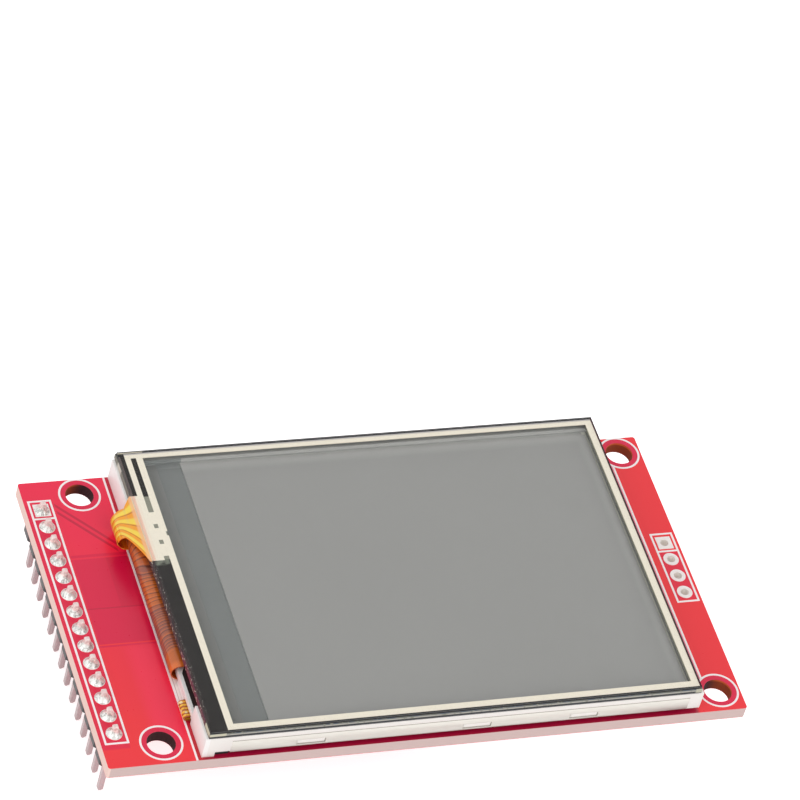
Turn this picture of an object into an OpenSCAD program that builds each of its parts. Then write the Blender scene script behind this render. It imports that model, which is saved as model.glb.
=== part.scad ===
// Touch display module: a red circuit board with a pin header at one end, a
// colour display with a resistive touch panel on its top face and a memory card
// socket under it. Millimetres. The origin is the centre of the four mounting
// holes on the board's underside: +X runs from the pin header to the side pads,
// +Y to the back and +Z out of the screen.

/* [Circuit board] */
// Length of the board, from the header end to the side pads
board_length = 76.2; // [74:0.1:90]
// Width of the board
board_width = 42.1; // [42:0.1:60]
// Thickness of the board
board_thickness = 1.6; // [0.8:0.1:2.4]
// Radius of the board's corners
board_corner_radius = 0.3; // [0.2:0.1:1.5]

/* [Mounting holes] */
// Diameter of the mounting holes
hole_diameter = 3.3; // [2.2:0.1:3.6]
// Distance from the header end to the nearest holes
hole_inset_x = 6.8; // [6:0.1:7.5]
// Distance from the far end to the nearest holes
hole_far_inset = 2.7; // [2.5:0.1:3.2]
// Distance from the front edge to the front holes
hole_inset_y = 2.9; // [2.4:0.1:4]
// Distance from the back edge to the back holes
hole_back_inset = 2.4; // [2.3:0.1:4]
// Diameter of the printed ring around each hole
ring_diameter = 4.96; // [4:0.02:5.2]

/* [Pin header] */
// Number of pins
pin_count = 14; // [2:1:14]
// Distance between the pins
pin_pitch = 2.54; // [2:0.01:2.54]
// Thickness of a square pin
pin_width = 0.64; // [0.4:0.01:0.7]
// Length of a pin below the plastic
pin_drop = 5.6; // [3:0.1:12]
// Height of a pin above the board
pin_rise = 1.4; // [1:0.1:2]
// Length of a pin's tapered tip
pin_taper = 0.5; // [0.2:0.05:1]
// Height of the header's plastic
header_height = 2.5; // [1.5:0.1:9]
// Width of the header's plastic
header_width = 2.5; // [2:0.05:3]
// Chamfer between the header's segments
header_chamfer = 0.4; // [0.1:0.05:0.6]
// Distance from the header end to the row of pins
header_inset_x = 1.85; // [1.6:0.05:2]
// How far the middle of the row lies behind the middle of the board
header_shift = 0.26; // [-0.4:0.02:0.6]

/* [Pads] */
// Diameter of a soldering pad
pad_diameter = 1.86; // [1.5:0.02:2]
// Diameter of the drilled hole before plating
pad_drill = 1.1; // [1.05:0.01:1.2]
// Thickness of the plating
plating = 0.05; // [0.03:0.01:0.1]
// Height of the solder cone at its foot
solder_height = 0.85; // [0.4:0.05:1]
// Number of pads in the side row
side_pad_count = 4; // [2:1:4]
// Distance from the far end of the board to the side row
side_pad_inset_x = 1.75; // [1.6:0.05:2]
// How far the middle of the side row lies behind the middle of the board
side_pad_shift = 0.51; // [-4:0.01:4]

/* [Printed legend] */
// Width of the printed lines
legend_line = 0.24; // [0.15:0.01:0.4]
// Thickness of the printed lines
legend_height = 0.03; // [0.02:0.01:0.04]
// Gap between a pad and the printed box around its row
legend_gap = 0.24; // [0.1:0.01:0.3]

/* [Display] */
// Distance from the header end to the display
display_inset_x = 10.75; // [10.4:0.05:11]
// Distance from the display to the far end of the board
display_far_inset = 6.05; // [5.6:0.05:7]
// Distance from the front edge to the display
display_inset_y = 0.35; // [0.1:0.05:0.6]
// Distance from the display to the back edge
display_back_inset = 0.05; // [0:0.05:0.6]
// Gap between the board and the display's metal tray
display_lift = 0.5; // [0.45:0.05:1]
// Height of the display's frame above the tray's underside
frame_height = 2.55; // [2.55:0.05:3]
// Width of the frame's side walls
frame_wall = 0.95; // [0.8:0.05:1.2]
// Width of the frame's end wall at the flexible circuits
frame_end_wall = 1.45; // [1.3:0.05:1.6]
// Thickness of the tray's sheet metal
tray_sheet = 0.2; // [0.1:0.05:0.3]
// Height of the tray's side walls
tray_height = 1.88; // [1.6:0.02:2]
// Length of each latch window in the tray
window_length = 3.4; // [2:0.1:5]
// Height of each latch window in the tray
window_height = 0.7; // [0.4:0.05:0.9]

/* [Backlight] */
// Thickness of the light guide
guide_thickness = 0.7; // [0.5:0.05:0.9]
// Thickness of each film over the light guide
film_sheet = 0.1; // [0.05:0.01:0.1]
// Number of light emitting diodes
led_count = 4; // [2:1:6]
// Length of each diode
led_length = 3.8; // [2:0.1:4]
// Thickness of a flexible circuit
flex_thickness = 0.12; // [0.06:0.01:0.15]

/* [Glass] */
// Thickness of each of the display's two glasses
cell_glass = 0.45; // [0.3:0.05:0.5]
// Thickness of a polarising film
polariser_sheet = 0.12; // [0.08:0.01:0.12]
// Width of the rear glass left bare for the driver chip
ledge_width = 3.1; // [2.5:0.1:3.5]
// Distance from the end of the front glass to its polariser
polariser_inset = 3.2; // [0.5:0.1:4]

/* [Display circuit] */
// Width of the display's flexible circuit
flex_width = 23.5; // [16:0.1:24]
// How far the circuit's middle lies behind the middle of the board
flex_shift = 2.1; // [2:0.05:3.5]
// Number of soldered joints on the flexible circuit
flex_joint_count = 18; // [10:1:20]
// Distance between the soldered joints
flex_joint_pitch = 0.8; // [0.5:0.1:0.8]

/* [Touch panel] */
// Distance from the frame's end at the header to the touch panel
touch_inset_x = 0.25; // [0.1:0.05:0.35]
// Distance from the touch panel to the frame's far end
touch_far_inset = 0.4; // [0.05:0.05:0.5]
// How far the touch panel stands out beyond the frame's front side
touch_overhang = 0.05; // [0:0.05:0.15]
// How far it stands out beyond the frame's back side
touch_back_overhang = 0.2; // [0:0.05:0.25]
// Thickness of the touch panel's glass
touch_glass_thickness = 0.7; // [0.5:0.05:1.1]
// Thickness of the touch panel's top film
touch_film_thickness = 0.2; // [0.1:0.05:0.3]
// Thickness of each adhesive layer
adhesive = 0.1; // [0.05:0.05:0.15]
// Width of the silver conductor around the panel
bus_width = 0.8; // [0.5:0.05:1]
// Width of the black border along the touch panel's sides
border_side = 0.42; // [0.3:0.02:0.6]
// Width of the black border at the touch panel's far end
border_far = 0.27; // [0.23:0.02:0.6]
// Width of the black border at the touch panel's tail end
border_end = 2.2; // [2:0.1:2.4]

/* [Touch circuit] */
// Width of the touch panel's tail at the panel
tail_root = 9.8; // [8:0.1:10]
// Width of the touch panel's tail at its fold
tail_width = 3; // [2.6:0.1:4]
// Distance from the tail to the back of the display's circuit
tail_back_inset = 1; // [0.5:0.1:1.6]

/* [Card socket] */
// Length of the card socket
socket_length = 27; // [26:0.5:30]
// Width of the card socket
socket_width = 27.8; // [27:0.1:30]
// Height of the card socket
socket_height = 3; // [2.9:0.1:4]
// Width of the card's slot
slot_width = 24.3; // [24.2:0.1:25]
// Height of the card's slot
slot_height = 2.3; // [2.2:0.05:2.4]
// Distance from the far end of the board to the socket's mouth
socket_inset_x = 7.2; // [5:0.1:9]
// Number of contacts in the socket
contact_count = 9; // [7:1:9]
// Distance between the contacts
contact_pitch = 2.5; // [2:0.1:2.6]

/* [Small parts] */
// Distance from the header end to the touch controller's middle
controller_inset = 13; // [12:0.5:14]
// Length of the touch controller's moulding
controller_length = 5; // [4.5:0.1:6]
// Width of the touch controller's moulding
controller_width = 4.4; // [3.9:0.1:5]
// Distance between the touch controller's leads
controller_pitch = 0.65; // [0.5:0.05:0.65]
// Distance from the board's middle to the regulator and to the transistor
power_offset = 13.9; // [12:0.1:14]
// Length of a chip capacitor or resistor
chip_length = 1.6; // [1:0.1:2]
// Width of a chip capacitor or resistor
chip_width = 0.8; // [0.5:0.1:1.2]
// Distance between the chip resistors
chip_pitch = 2.4; // [1.6:0.1:3]

/* [Hidden] */
$fn = 48;
// Small overshoot for cuts and holes
cut = 0.5;

// The board's corner, measured from the centre of the mounting holes
hole_spacing_x = board_length - hole_inset_x - hole_far_inset;
hole_spacing_y = board_width - hole_inset_y - hole_back_inset;
board_middle = board_width / 2;
board_left = -hole_spacing_x / 2 - hole_inset_x;
board_front = -hole_spacing_y / 2 - hole_inset_y;

// Rows of pads, measured from the board's corner as every place below is
header_first = board_middle + header_shift - (pin_count - 1) * pin_pitch / 2;
header_last = header_first + (pin_count - 1) * pin_pitch;
side_row_x = board_length - side_pad_inset_x;
side_first = board_middle + side_pad_shift - (side_pad_count - 1) * pin_pitch / 2;
side_last = side_first + (side_pad_count - 1) * pin_pitch;
barrel_radius = pad_drill / 2 - plating;

// Display frame and tray
display_right = board_length - display_far_inset;
display_back = board_width - display_back_inset;
display_length = display_right - display_inset_x;
frame_base = display_lift + tray_sheet;
frame_top = display_lift + frame_height;
tray_top = display_lift + tray_height;
pocket_left = display_inset_x + frame_end_wall;
pocket_right = display_right - frame_wall;
pocket_front = display_inset_y + frame_wall;
pocket_back = display_back - frame_wall;
side_play = 0.1;

// Places of the flexible circuits across the board
flex_front = board_middle + flex_shift - flex_width / 2;
flex_back = flex_front + flex_width;
tail_back = flex_back - tail_back_inset;
tail_front = tail_back - tail_width;

// The frame's corners and its end
corner_block = 3.2;
corner_relief = 1.55;
end_notch_front = display_inset_y + 4.85;
end_notch_back = flex_back + 0.6;
tray_left = pocket_left + 0.1;

// The stack inside the frame, from the tray upwards
stack_left = pocket_left + side_play;
stack_right = pocket_right - side_play;
stack_front = pocket_front + side_play;
stack_back = pocket_back - side_play;
reflector_top = frame_base + film_sheet;
guide_top = reflector_top + guide_thickness;
guide_left = stack_left + 2;
film_left = guide_left + 0.5;
films_top = guide_top + 3 * film_sheet;
rear_glass_base = films_top + polariser_sheet;
rear_glass_top = rear_glass_base + cell_glass;
front_glass_left = stack_left + ledge_width;
front_glass_top = rear_glass_top + cell_glass;
front_polariser_top = front_glass_top + polariser_sheet;
rim_window = 1.5;

// The touch panel
touch_left = display_inset_x + touch_inset_x;
touch_right = display_right - touch_far_inset;
touch_front = display_inset_y - touch_overhang;
touch_back = display_back + touch_back_overhang;
touch_base = frame_top + adhesive;
touch_glass_top = touch_base + touch_glass_thickness;
touch_film_base = touch_glass_top + adhesive;
touch_top = touch_film_base + touch_film_thickness;
film_margin = 0.12;
bus_left = touch_left + border_end;
bus_right = touch_right - border_far;
bus_front = touch_front + border_side;
bus_back = touch_back - border_side + 0.15;
lead_left = touch_left + 0.9;
lead_width = 0.68;
bond_back = tail_back + 1.6;
bond_front = bond_back - tail_root;

// Folds of the flexible circuits
print_clearance = legend_height + 0.02;
tail_thickness = adhesive;
tail_radius = (touch_film_base - print_clearance) / 2;
tail_fold_x = display_inset_x - 0.15;
flex_base = print_clearance + tail_thickness + 0.05;
flex_radius = (rear_glass_top + flex_thickness - flex_base) / 2;
flex_fold_x = display_inset_x + 0.35;
light_strip_top = frame_base + flex_thickness;
light_tail_base = print_clearance + 0.03;
light_tail_radius = (light_strip_top - light_tail_base) / 2;
light_tail_fold_x = display_inset_x - 0.35;
light_tail_front = display_inset_y + 5.25;
light_tail_width = 2.4;
light_tail_ribs = 5;

// The card socket
socket_right = board_length - socket_inset_x;
socket_left = socket_right - socket_length;
socket_front = (board_width - socket_width) / 2;
socket_back = socket_front + socket_width;
slot_depth = socket_length - 3;
slot_top = socket_height - tray_sheet - slot_height;
first_resistor = controller_inset + 12;
capacitor_column = controller_inset + 6.5;

PIN_NODES = [for (i = [1 : pin_count]) str("header_pin_", i)];
LED_NODES = [for (i = [1 : led_count]) str("backlight_led_", i)];

// --- Places and shared shapes ---------------------------------------------

// Moves its children to the board's front corner at the header end, on top
module on_board() {
  translate([board_left, board_front, board_thickness]) children();
}

// Moves its children to the same corner on the underside, turned to face down
module under_board() {
  translate([board_left, board_front, 0]) mirror([0, 0, 1]) children();
}

// A block between two corners
module block(low, high) {
  translate(low) cube(high - low);
}

// A sheet with a rectangular window, both given as [left, front, right, back]
module ring_sheet(outer, window, low, high) {
  difference() {
    block([outer[0], outer[1], low], [outer[2], outer[3], high]);
    block([window[0], window[1], low - cut], [window[2], window[3], high + cut]);
  }
}

// A flat rectangle given as [left, front, right, back]
module area(box) {
  translate([box[0], box[1]]) square([box[2] - box[0], box[3] - box[1]]);
}

// The outline of a rectangle, drawn as a line inside it
module outline(box, line) {
  difference() {
    area(box);
    area([box[0] + line, box[1] + line, box[2] - line, box[3] - line]);
  }
}

// Extrudes a side view, drawn along the board and upwards, across the board
module across(front, back) {
  translate([0, back, 0]) rotate([90, 0, 0]) linear_extrude(back - front) children();
}

// The half ring of a strip that folds back on itself towards the header end
module fold_profile(fold_x, low, radius, thickness) {
  translate([fold_x, low + radius]) difference() {
    circle(radius);
    circle(radius - thickness);
    translate([0, -radius - cut]) square([radius + cut, 2 * (radius + cut)]);
  }
}

// A moulded part with bent leads on two sides, standing on its leads
module leaded_part(size, lead, pitch, count, other_count) {
  foot = 0.12;
  block([-size[0] / 2, -size[1] / 2, foot], [size[0] / 2, size[1] / 2, foot + size[2]]);
  for (side = [[-1, count], [1, other_count]], i = [0 : 1 : side[1] - 1]) {
    x = (i - (side[1] - 1) / 2) * pitch;
    edge = side[0] * size[1] / 2;
    out = edge + side[0] * lead[1];
    rise = foot + size[2] / 2;
    translate([x - lead[0] / 2, 0, 0]) {
      block([0, min(edge - side[0] * cut, edge + side[0] * lead[1] / 2), rise - foot],
            [lead[0], max(edge - side[0] * cut, edge + side[0] * lead[1] / 2), rise]);
      block([0, min(edge + side[0] * lead[1] / 4, edge + side[0] * lead[1] / 2), 0],
            [lead[0], max(edge + side[0] * lead[1] / 4, edge + side[0] * lead[1] / 2), rise]);
      block([0, min(edge + side[0] * lead[1] / 4, out), 0],
            [lead[0], max(edge + side[0] * lead[1] / 4, out), foot]);
    }
  }
}

// A two-ended chip part: a body between two plated ends
module chip_part(length, width, height) {
  translate([-length / 2, -width / 2, 0]) cube([length, width, height]);
}

function pin_y(i) = header_first + (pin_count - i) * pin_pitch;
function side_pad_y(i) = side_first + (side_pad_count - i) * pin_pitch;
function led_y(i) = stack_front + (i - 0.5) * (stack_back - stack_front) / led_count;

// --- Circuit board ----------------------------------------------------------

module mounting_places() {
  for (x = [0, hole_spacing_x], y = [0, hole_spacing_y])
    translate([hole_inset_x + x, hole_inset_y + y]) children();
}

module board_outline() {
  r = board_corner_radius;
  union() {
    area([r, 0, board_length - r, board_width]);
    area([0, r, board_length, board_width - r]);
    for (x = [r, board_length - r], y = [r, board_width - r]) translate([x, y]) circle(r);
  }
}

module circuit_board() {
  color("crimson") on_board() translate([0, 0, -board_thickness]) difference() {
    linear_extrude(board_thickness) board_outline();
    translate([0, 0, -cut]) {
      mounting_places() cylinder(d = hole_diameter, h = board_thickness + 2 * cut);
      for (i = [1 : pin_count]) translate([header_inset_x, pin_y(i)])
        cylinder(d = pad_drill, h = board_thickness + 2 * cut);
      for (i = [1 : side_pad_count]) translate([side_row_x, side_pad_y(i)])
        cylinder(d = pad_drill, h = board_thickness + 2 * cut);
    }
  }
}

// A plated hole with a pad on each face, the first of a row square
module plated_pad(first) {
  difference() {
    union() {
      translate([0, 0, -board_thickness]) cylinder(d = pad_drill, h = board_thickness);
      for (z = [0, -board_thickness - plating]) translate([0, 0, z])
        if (first) translate([-pad_diameter / 2, -pad_diameter / 2, 0])
          cube([pad_diameter, pad_diameter, plating]);
        else cylinder(d = pad_diameter, h = plating);
    }
    translate([0, 0, -board_thickness - cut])
      cylinder(r = barrel_radius, h = board_thickness + 2 * cut);
  }
}

module header_pads() {
  color("gainsboro") on_board() for (i = [1 : pin_count])
    translate([header_inset_x, pin_y(i), 0]) plated_pad(i == 1);
}

module side_pads() {
  color("gainsboro") on_board() for (i = [1 : side_pad_count])
    translate([side_row_x, side_pad_y(i), 0]) plated_pad(i == 1);
}

// A printed box around a row of pads, with the first pad in a box of its own
module row_box(x, near, last) {
  reach = pad_diameter / 2 + legend_gap + legend_line;
  end_gap = pin_pitch / 2 + legend_line;
  outline([x - reach, near - end_gap, x + reach, last + end_gap], legend_line);
  divider = last - pin_pitch / 2;
  area([x - reach, divider - legend_line / 2, x + reach, divider + legend_line / 2]);
}

module legend_print() {
  right_line = display_right + 1.92;
  color("white") on_board() linear_extrude(legend_height) intersection() {
    area([0, 0, board_length, board_width]);
    union() {
      difference() {
        union() {
          mounting_places() circle(d = ring_diameter);
          area([right_line - legend_line / 2, hole_inset_y, right_line + legend_line / 2,
                hole_inset_y + hole_spacing_y]);
        }
        mounting_places() circle(d = ring_diameter - 2 * legend_line);
      }
      area([display_inset_x - 0.65, 0, display_inset_x - 0.65 + legend_line, board_width]);
      row_box(header_inset_x, header_first, header_last);
      row_box(side_row_x, side_first, side_last);
    }
  }
}

// --- Pin header ---------------------------------------------------------------

module header_body() {
  half = pin_pitch / 2;
  c = header_chamfer;
  w = header_width / 2;
  color("dimgray") on_board() translate([header_inset_x, 0, -board_thickness - plating])
    mirror([0, 0, 1]) difference() {
      union() for (i = [1 : pin_count]) translate([0, pin_y(i), 0]) linear_extrude(header_height)
        polygon([[-w, c - half], [-w, half - c], [c - w, half], [w - c, half],
                 [w, half - c], [w, c - half], [w - c, -half], [c - w, -half]]);
      for (i = [1 : pin_count]) translate([-pin_width / 2, pin_y(i) - pin_width / 2, -cut])
        cube([pin_width, pin_width, header_height + 2 * cut]);
    }
}

// A square pin, tapered at both ends
module header_pin(i) {
  low = -board_thickness - plating - header_height - pin_drop;
  w = pin_width / 2;
  t = pin_width / 5;
  side = [[-t, low], [t, low], [w, low + pin_taper], [w, pin_rise - pin_taper / 2],
          [t * 2, pin_rise], [-t * 2, pin_rise], [-w, pin_rise - pin_taper / 2],
          [-w, low + pin_taper]];
  color("silver") on_board() translate([header_inset_x, pin_y(i), 0]) intersection() {
    translate([0, w, 0]) rotate([90, 0, 0]) linear_extrude(pin_width) polygon(side);
    translate([-w, 0, 0]) rotate([90, 0, 90]) linear_extrude(pin_width) polygon(side);
  }
}

// Solder that fills a plated hole and rises as a cone around the pin
module header_solder() {
  foot = pad_diameter / 2 - 0.03;
  top = pin_width * 0.78;
  steps = 5;
  cone = [for (k = [0 : steps]) let (t = k / steps)
    [top + (foot - top) * pow(1 - t, 1.7), plating + solder_height * t]];
  color("lightgray") on_board() for (i = [1 : pin_count])
    translate([header_inset_x, pin_y(i), 0]) difference() {
      rotate_extrude() polygon(concat(
        [[0, -board_thickness - plating], [barrel_radius, -board_thickness - plating],
         [barrel_radius, plating]], cone, [[0, plating + solder_height]]));
      translate([-pin_width / 2, -pin_width / 2, -board_thickness - plating - cut])
        cube([pin_width, pin_width, board_thickness + pin_rise + solder_height + 2 * cut]);
    }
}

// --- Display frame ------------------------------------------------------------

module mounting_tape() {
  inset = 1;
  width = 5;
  tab = 1.6;
  circuit_gap = 1.15;
  color("black") on_board() {
    block([tray_left, display_inset_y + inset, 0],
          [pocket_right, display_inset_y + inset + width, display_lift]);
    block([tray_left, flex_back + circuit_gap, 0],
          [pocket_right, display_back - inset, display_lift]);
    block([tray_left, display_inset_y + 0.25, 0],
          [tray_left + tab, display_inset_y + inset, display_lift]);
  }
}

window_places = [0.212, 0.543, 0.76];

// The latch windows' shape, cut through both long walls of the tray
module latch_windows(play, front, back) {
  low = display_lift + 0.22;
  for (share = window_places) {
    x = display_inset_x + share * display_length;
    block([x - window_length / 2 + play, front, low + play],
          [x + window_length / 2 - play, back, low + window_height - play]);
  }
}

module metal_tray() {
  wall_left = display_inset_x + corner_block;
  wall_right = display_right - corner_relief;
  color("gainsboro") on_board() difference() {
    union() {
      block([tray_left, pocket_front, display_lift],
            [display_right, pocket_back, frame_base]);
      for (y = [display_inset_y, display_back - frame_wall])
        block([wall_left, y, display_lift], [wall_right, y + frame_wall, frame_base]);
      for (y = [display_inset_y, display_back - tray_sheet])
        block([wall_left, y, display_lift], [wall_right, y + tray_sheet, tray_top]);
      block([display_right - tray_sheet, pocket_front + corner_relief, display_lift],
            [display_right, pocket_back - corner_relief, tray_top]);
    }
    latch_windows(0, display_inset_y - cut, display_inset_y + tray_sheet + 0.01);
    latch_windows(0, display_back - tray_sheet - 0.01, display_back + cut);
    for (y = [pocket_front - cut, pocket_back - corner_relief])
      block([wall_right, y, display_lift - cut],
            [display_right + cut, y + corner_relief + cut, frame_base + cut]);
  }
}

// The moulded frame: walls round the light guide and glass, low at the end
// where the flexible circuits come out, with feet at the corners
module plastic_frame() {
  wall_left = display_inset_x + corner_block;
  wall_right = display_right - corner_relief;
  low_wall = guide_top;
  bump = 0.12;
  color("whitesmoke") on_board() {
    difference() {
      union() {
        block([display_inset_x, display_inset_y, frame_base],
              [display_right, display_back, frame_top]);
        // Corner feet at the flexible circuits' end, down to the board
        for (y = [[display_inset_y, end_notch_front], [end_notch_back, display_back]])
          block([display_inset_x, y[0], 0], [pocket_left, y[1], frame_base + cut]);
        // The low wall's skirt between the two flexible circuits
        block([display_inset_x, light_tail_front + light_tail_width + 0.3, 0.15],
              [pocket_left, flex_front - 0.5, frame_base + cut]);
        // Corner blocks at the far end, beside the tray's side walls
        for (y = [display_inset_y, display_back - corner_relief - frame_wall])
          block([wall_right, y, display_lift],
                [display_right, y + corner_relief + frame_wall, frame_base + cut]);
      }
      block([pocket_left, pocket_front, -cut], [pocket_right, pocket_back, frame_top + cut]);
      // Room for the tray's walls
      for (y = [display_inset_y - cut, display_back - tray_sheet])
        block([wall_left, y, frame_base - cut], [wall_right, y + tray_sheet + cut, tray_top]);
      block([display_right - tray_sheet, pocket_front + corner_relief, frame_base - cut],
            [display_right + cut, pocket_back - corner_relief, tray_top]);
      // Room for the backlight's tail under the end wall
      block([display_inset_x - cut, light_tail_front - side_play, -cut],
            [pocket_left + cut, light_tail_front + light_tail_width + side_play,
             light_strip_top + side_play]);
      // The end notch over the flexible circuits
      block([display_inset_x - cut, end_notch_front, low_wall],
            [pocket_left + cut, end_notch_back, frame_top + cut]);
    }
    // Latch bumps behind the tray's windows
    intersection() {
      latch_windows(side_play, display_inset_y + tray_sheet - bump, display_back - tray_sheet + bump);
      for (y = [display_inset_y + tray_sheet - bump, display_back - tray_sheet - cut + bump])
        block([display_inset_x, y, 0], [display_right, y + cut, frame_top]);
    }
  }
}

// --- Backlight ------------------------------------------------------------------

// A flat sheet that fills the frame from a given left edge
module filling_sheet(left, low, thickness) {
  on_board() block([left, stack_front, low], [stack_right, stack_back, low + thickness]);
}

module reflector_sheet() {
  color("white") filling_sheet(guide_left - 0.1, frame_base, film_sheet);
}

module light_guide() {
  color("lightcyan") filling_sheet(guide_left, reflector_top, guide_thickness);
}

// A side-view diode: a moulded body with its face against the light guide
module backlight_led(i) {
  depth = 0.9;
  lens = 0.35;
  y = led_y(i);
  color("lightyellow") on_board() difference() {
    block([guide_left - 0.1 - depth, y - led_length / 2, light_strip_top],
          [guide_left - 0.1, y + led_length / 2, guide_top]);
    block([guide_left - 0.1 - lens, y - led_length / 2 + lens, light_strip_top + lens / 2],
          [guide_left - 0.1 + cut, y + led_length / 2 - lens, guide_top - lens / 2]);
  }
}

// A strip under the diodes with a tail that folds back outside the frame's wall
module backlight_flex() {
  strip_right = guide_left - 2 * side_play;
  rib = 0.06;
  gap = light_tail_width / (2 * light_tail_ribs);
  color("orange") on_board() {
    block([stack_left, stack_front, frame_base],
          [strip_right, stack_back, light_strip_top]);
    across(light_tail_front, light_tail_front + light_tail_width) {
      fold_profile(light_tail_fold_x, light_tail_base, light_tail_radius, flex_thickness);
      translate([light_tail_fold_x, frame_base])
        square([stack_left - light_tail_fold_x, flex_thickness]);
      translate([light_tail_fold_x, light_tail_base])
        square([tray_left - side_play - light_tail_fold_x, flex_thickness]);
    }
    for (k = [0 : light_tail_ribs - 1])
      across(light_tail_front + (2 * k + 0.5) * gap, light_tail_front + (2 * k + 1.5) * gap)
        fold_profile(light_tail_fold_x, light_tail_base - rib + 0.02,
                     light_tail_radius + rib - 0.02, flex_thickness);
  }
}

module lower_diffuser() {
  color("white") filling_sheet(film_left, guide_top, film_sheet);
}

module prism_sheet() {
  color("aliceblue") filling_sheet(film_left, guide_top + film_sheet, film_sheet);
}

module upper_diffuser() {
  color("white") filling_sheet(film_left, guide_top + 2 * film_sheet, film_sheet);
}

// --- Display glass --------------------------------------------------------------

module rim_tape() {
  color("black") on_board() ring_sheet(
    [film_left, stack_front, stack_right, stack_back],
    [film_left + rim_window, stack_front + rim_window,
     stack_right - rim_window, stack_back - rim_window],
    films_top, films_top + polariser_sheet);
}

module rear_polariser() {
  play = rim_window + side_play;
  color("darkslategray") on_board()
    block([film_left + play, stack_front + play, films_top],
          [stack_right - play, stack_back - play, films_top + polariser_sheet]);
}

module rear_glass() {
  color("lightsteelblue") filling_sheet(stack_left, rear_glass_base, cell_glass);
}

module front_glass() {
  color("slategray") filling_sheet(front_glass_left, rear_glass_top, cell_glass);
}

module front_polariser() {
  edge = 0.5;
  color("darkgray") on_board()
    block([front_glass_left + polariser_inset, stack_front + edge, front_glass_top],
          [stack_right - edge, stack_back - edge, front_polariser_top]);
}

module driver_chip() {
  width = 1.2;
  length = 19;
  y = (flex_front + flex_back) / 2;
  x = front_glass_left - 0.15 - width;
  color("dimgray") on_board()
    block([x, y - length / 2, rear_glass_top], [x + width, y + length / 2, front_glass_top]);
}

// Black tape over the driver chip, folded down over the end of the glass
module ledge_tape() {
  flap_x = touch_left + 0.15;
  flap_back = flex_front - 0.2;
  color("black") on_board() {
    block([stack_left, stack_front, front_glass_top],
          [front_glass_left + 0.25, stack_back, front_glass_top + film_sheet]);
    block([flap_x, end_notch_front + 0.05, front_glass_top],
          [front_glass_left, end_notch_back - 0.05, front_glass_top + film_sheet]);
    block([flap_x, end_notch_front + 0.05, guide_top + 0.05],
          [flap_x + film_sheet, flap_back, front_glass_top + film_sheet]);
  }
}

// --- Display circuit ------------------------------------------------------------

// The flexible circuit: bonded on the rear glass, folded round the frame's end
// and soldered to the board under the display
module display_flex() {
  bond = 1.1;
  reach = 6.2;
  slant = 0.3;
  back = flex_back;
  color("darkorange") on_board() difference() {
    across(flex_front, back) {
      fold_profile(flex_fold_x, flex_base, flex_radius, flex_thickness);
      translate([flex_fold_x, rear_glass_top])
        square([stack_left + bond - flex_fold_x, flex_thickness]);
      translate([flex_fold_x, flex_base]) square([reach, flex_thickness]);
    }
    // The slanting front corner of the folded part
    translate([0, 0, -cut]) linear_extrude(touch_base)
      polygon([[flex_fold_x - 2 * flex_radius, flex_front + slant],
               [flex_fold_x, flex_front - 0.01],
               [flex_fold_x, flex_front - cut], [flex_fold_x - 2 * flex_radius, flex_front - cut]]);
  }
}

// Soldered joints between the flexible circuits and the board
module flex_solder() {
  joint = [1, 0.45];
  x = flex_fold_x + 4.8;
  middle = (flex_front + flex_back) / 2;
  color("silver") on_board() {
    for (i = [0 : flex_joint_count - 1]) {
      y = middle + (i - (flex_joint_count - 1) / 2) * flex_joint_pitch;
      block([x, y - joint[1] / 2, 0], [x + joint[0], y + joint[1] / 2, flex_base]);
    }
    for (i = [0 : 3]) {
      y = tail_front + (i + 0.5) * tail_width / 4;
      block([tail_fold_x + 1, y - joint[1] / 2, flex_base - 0.05],
            [tail_fold_x + 1 + joint[0], y + joint[1] / 2, flex_base]);
    }
  }
}

// --- Touch panel ------------------------------------------------------------------

module touch_adhesive() {
  play = 0.2;
  color("black") on_board() ring_sheet(
    [touch_left + play, touch_front + play, touch_right - play, touch_back - play],
    [touch_left + border_end, bus_front + bus_width, bus_right - bus_width + 0.05,
     bus_back - bus_width + 0.05],
    frame_top, touch_base);
}

module touch_glass() {
  color("lightgray", 0.6) on_board() block(
    [touch_left, touch_front, touch_base], [touch_right, touch_back, touch_glass_top]);
}

// The printed conductors in plan: a loop, a second lead and the tail's landing
module conductor_plan() {
  gap_left = lead_left + lead_width;
  gap_length = 2.6;
  mark = 0.6;
  mark_place = 2.4;
  margin = 0.06;
  difference() {
    union() {
      outline([bus_left, bus_front, bus_right, bus_back], bus_width);
      area([lead_left, bus_back - bus_width, bus_left + bus_width, bus_back]);
      area([lead_left, bond_back - 1, lead_left + lead_width, bus_back]);
      area([lead_left, bond_front, bus_left + bus_width, bond_back]);
    }
    // Gaps and windows in the landing
    area([gap_left, bond_back - gap_length, bus_left, bond_back + cut]);
    area([gap_left, bond_front - cut, bus_left, bond_front + mark]);
    for (y = [mark_place, 2 * mark_place])
      area([gap_left + margin, bond_front + y, bus_left - margin, bond_front + y + mark]);
    area([bus_left + bus_width - mark / 3, bond_front + 1.5 * mark_place,
          bus_left + bus_width + cut, bond_front + 1.5 * mark_place + mark]);
  }
}

module touch_conductors() {
  color("wheat") on_board() translate([0, 0, touch_glass_top])
    linear_extrude(adhesive) conductor_plan();
}

// The black adhesive border between the glass and the film
module touch_spacer() {
  color("black") on_board() translate([0, 0, touch_glass_top]) linear_extrude(adhesive)
    difference() {
      area([touch_left + film_margin, touch_front + film_margin,
            touch_right - film_margin, touch_back - film_margin]);
      area([bus_left + bus_width, bus_front + bus_width,
            bus_right - bus_width, bus_back - bus_width]);
      conductor_plan();
      area([touch_left, bond_front, lead_left, bond_back]);
    }
}

module touch_film() {
  color("whitesmoke", 0.4) on_board() block(
    [touch_left + film_margin, touch_front + film_margin, touch_film_base],
    [touch_right - film_margin, touch_back - film_margin, touch_top]);
}

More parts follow.
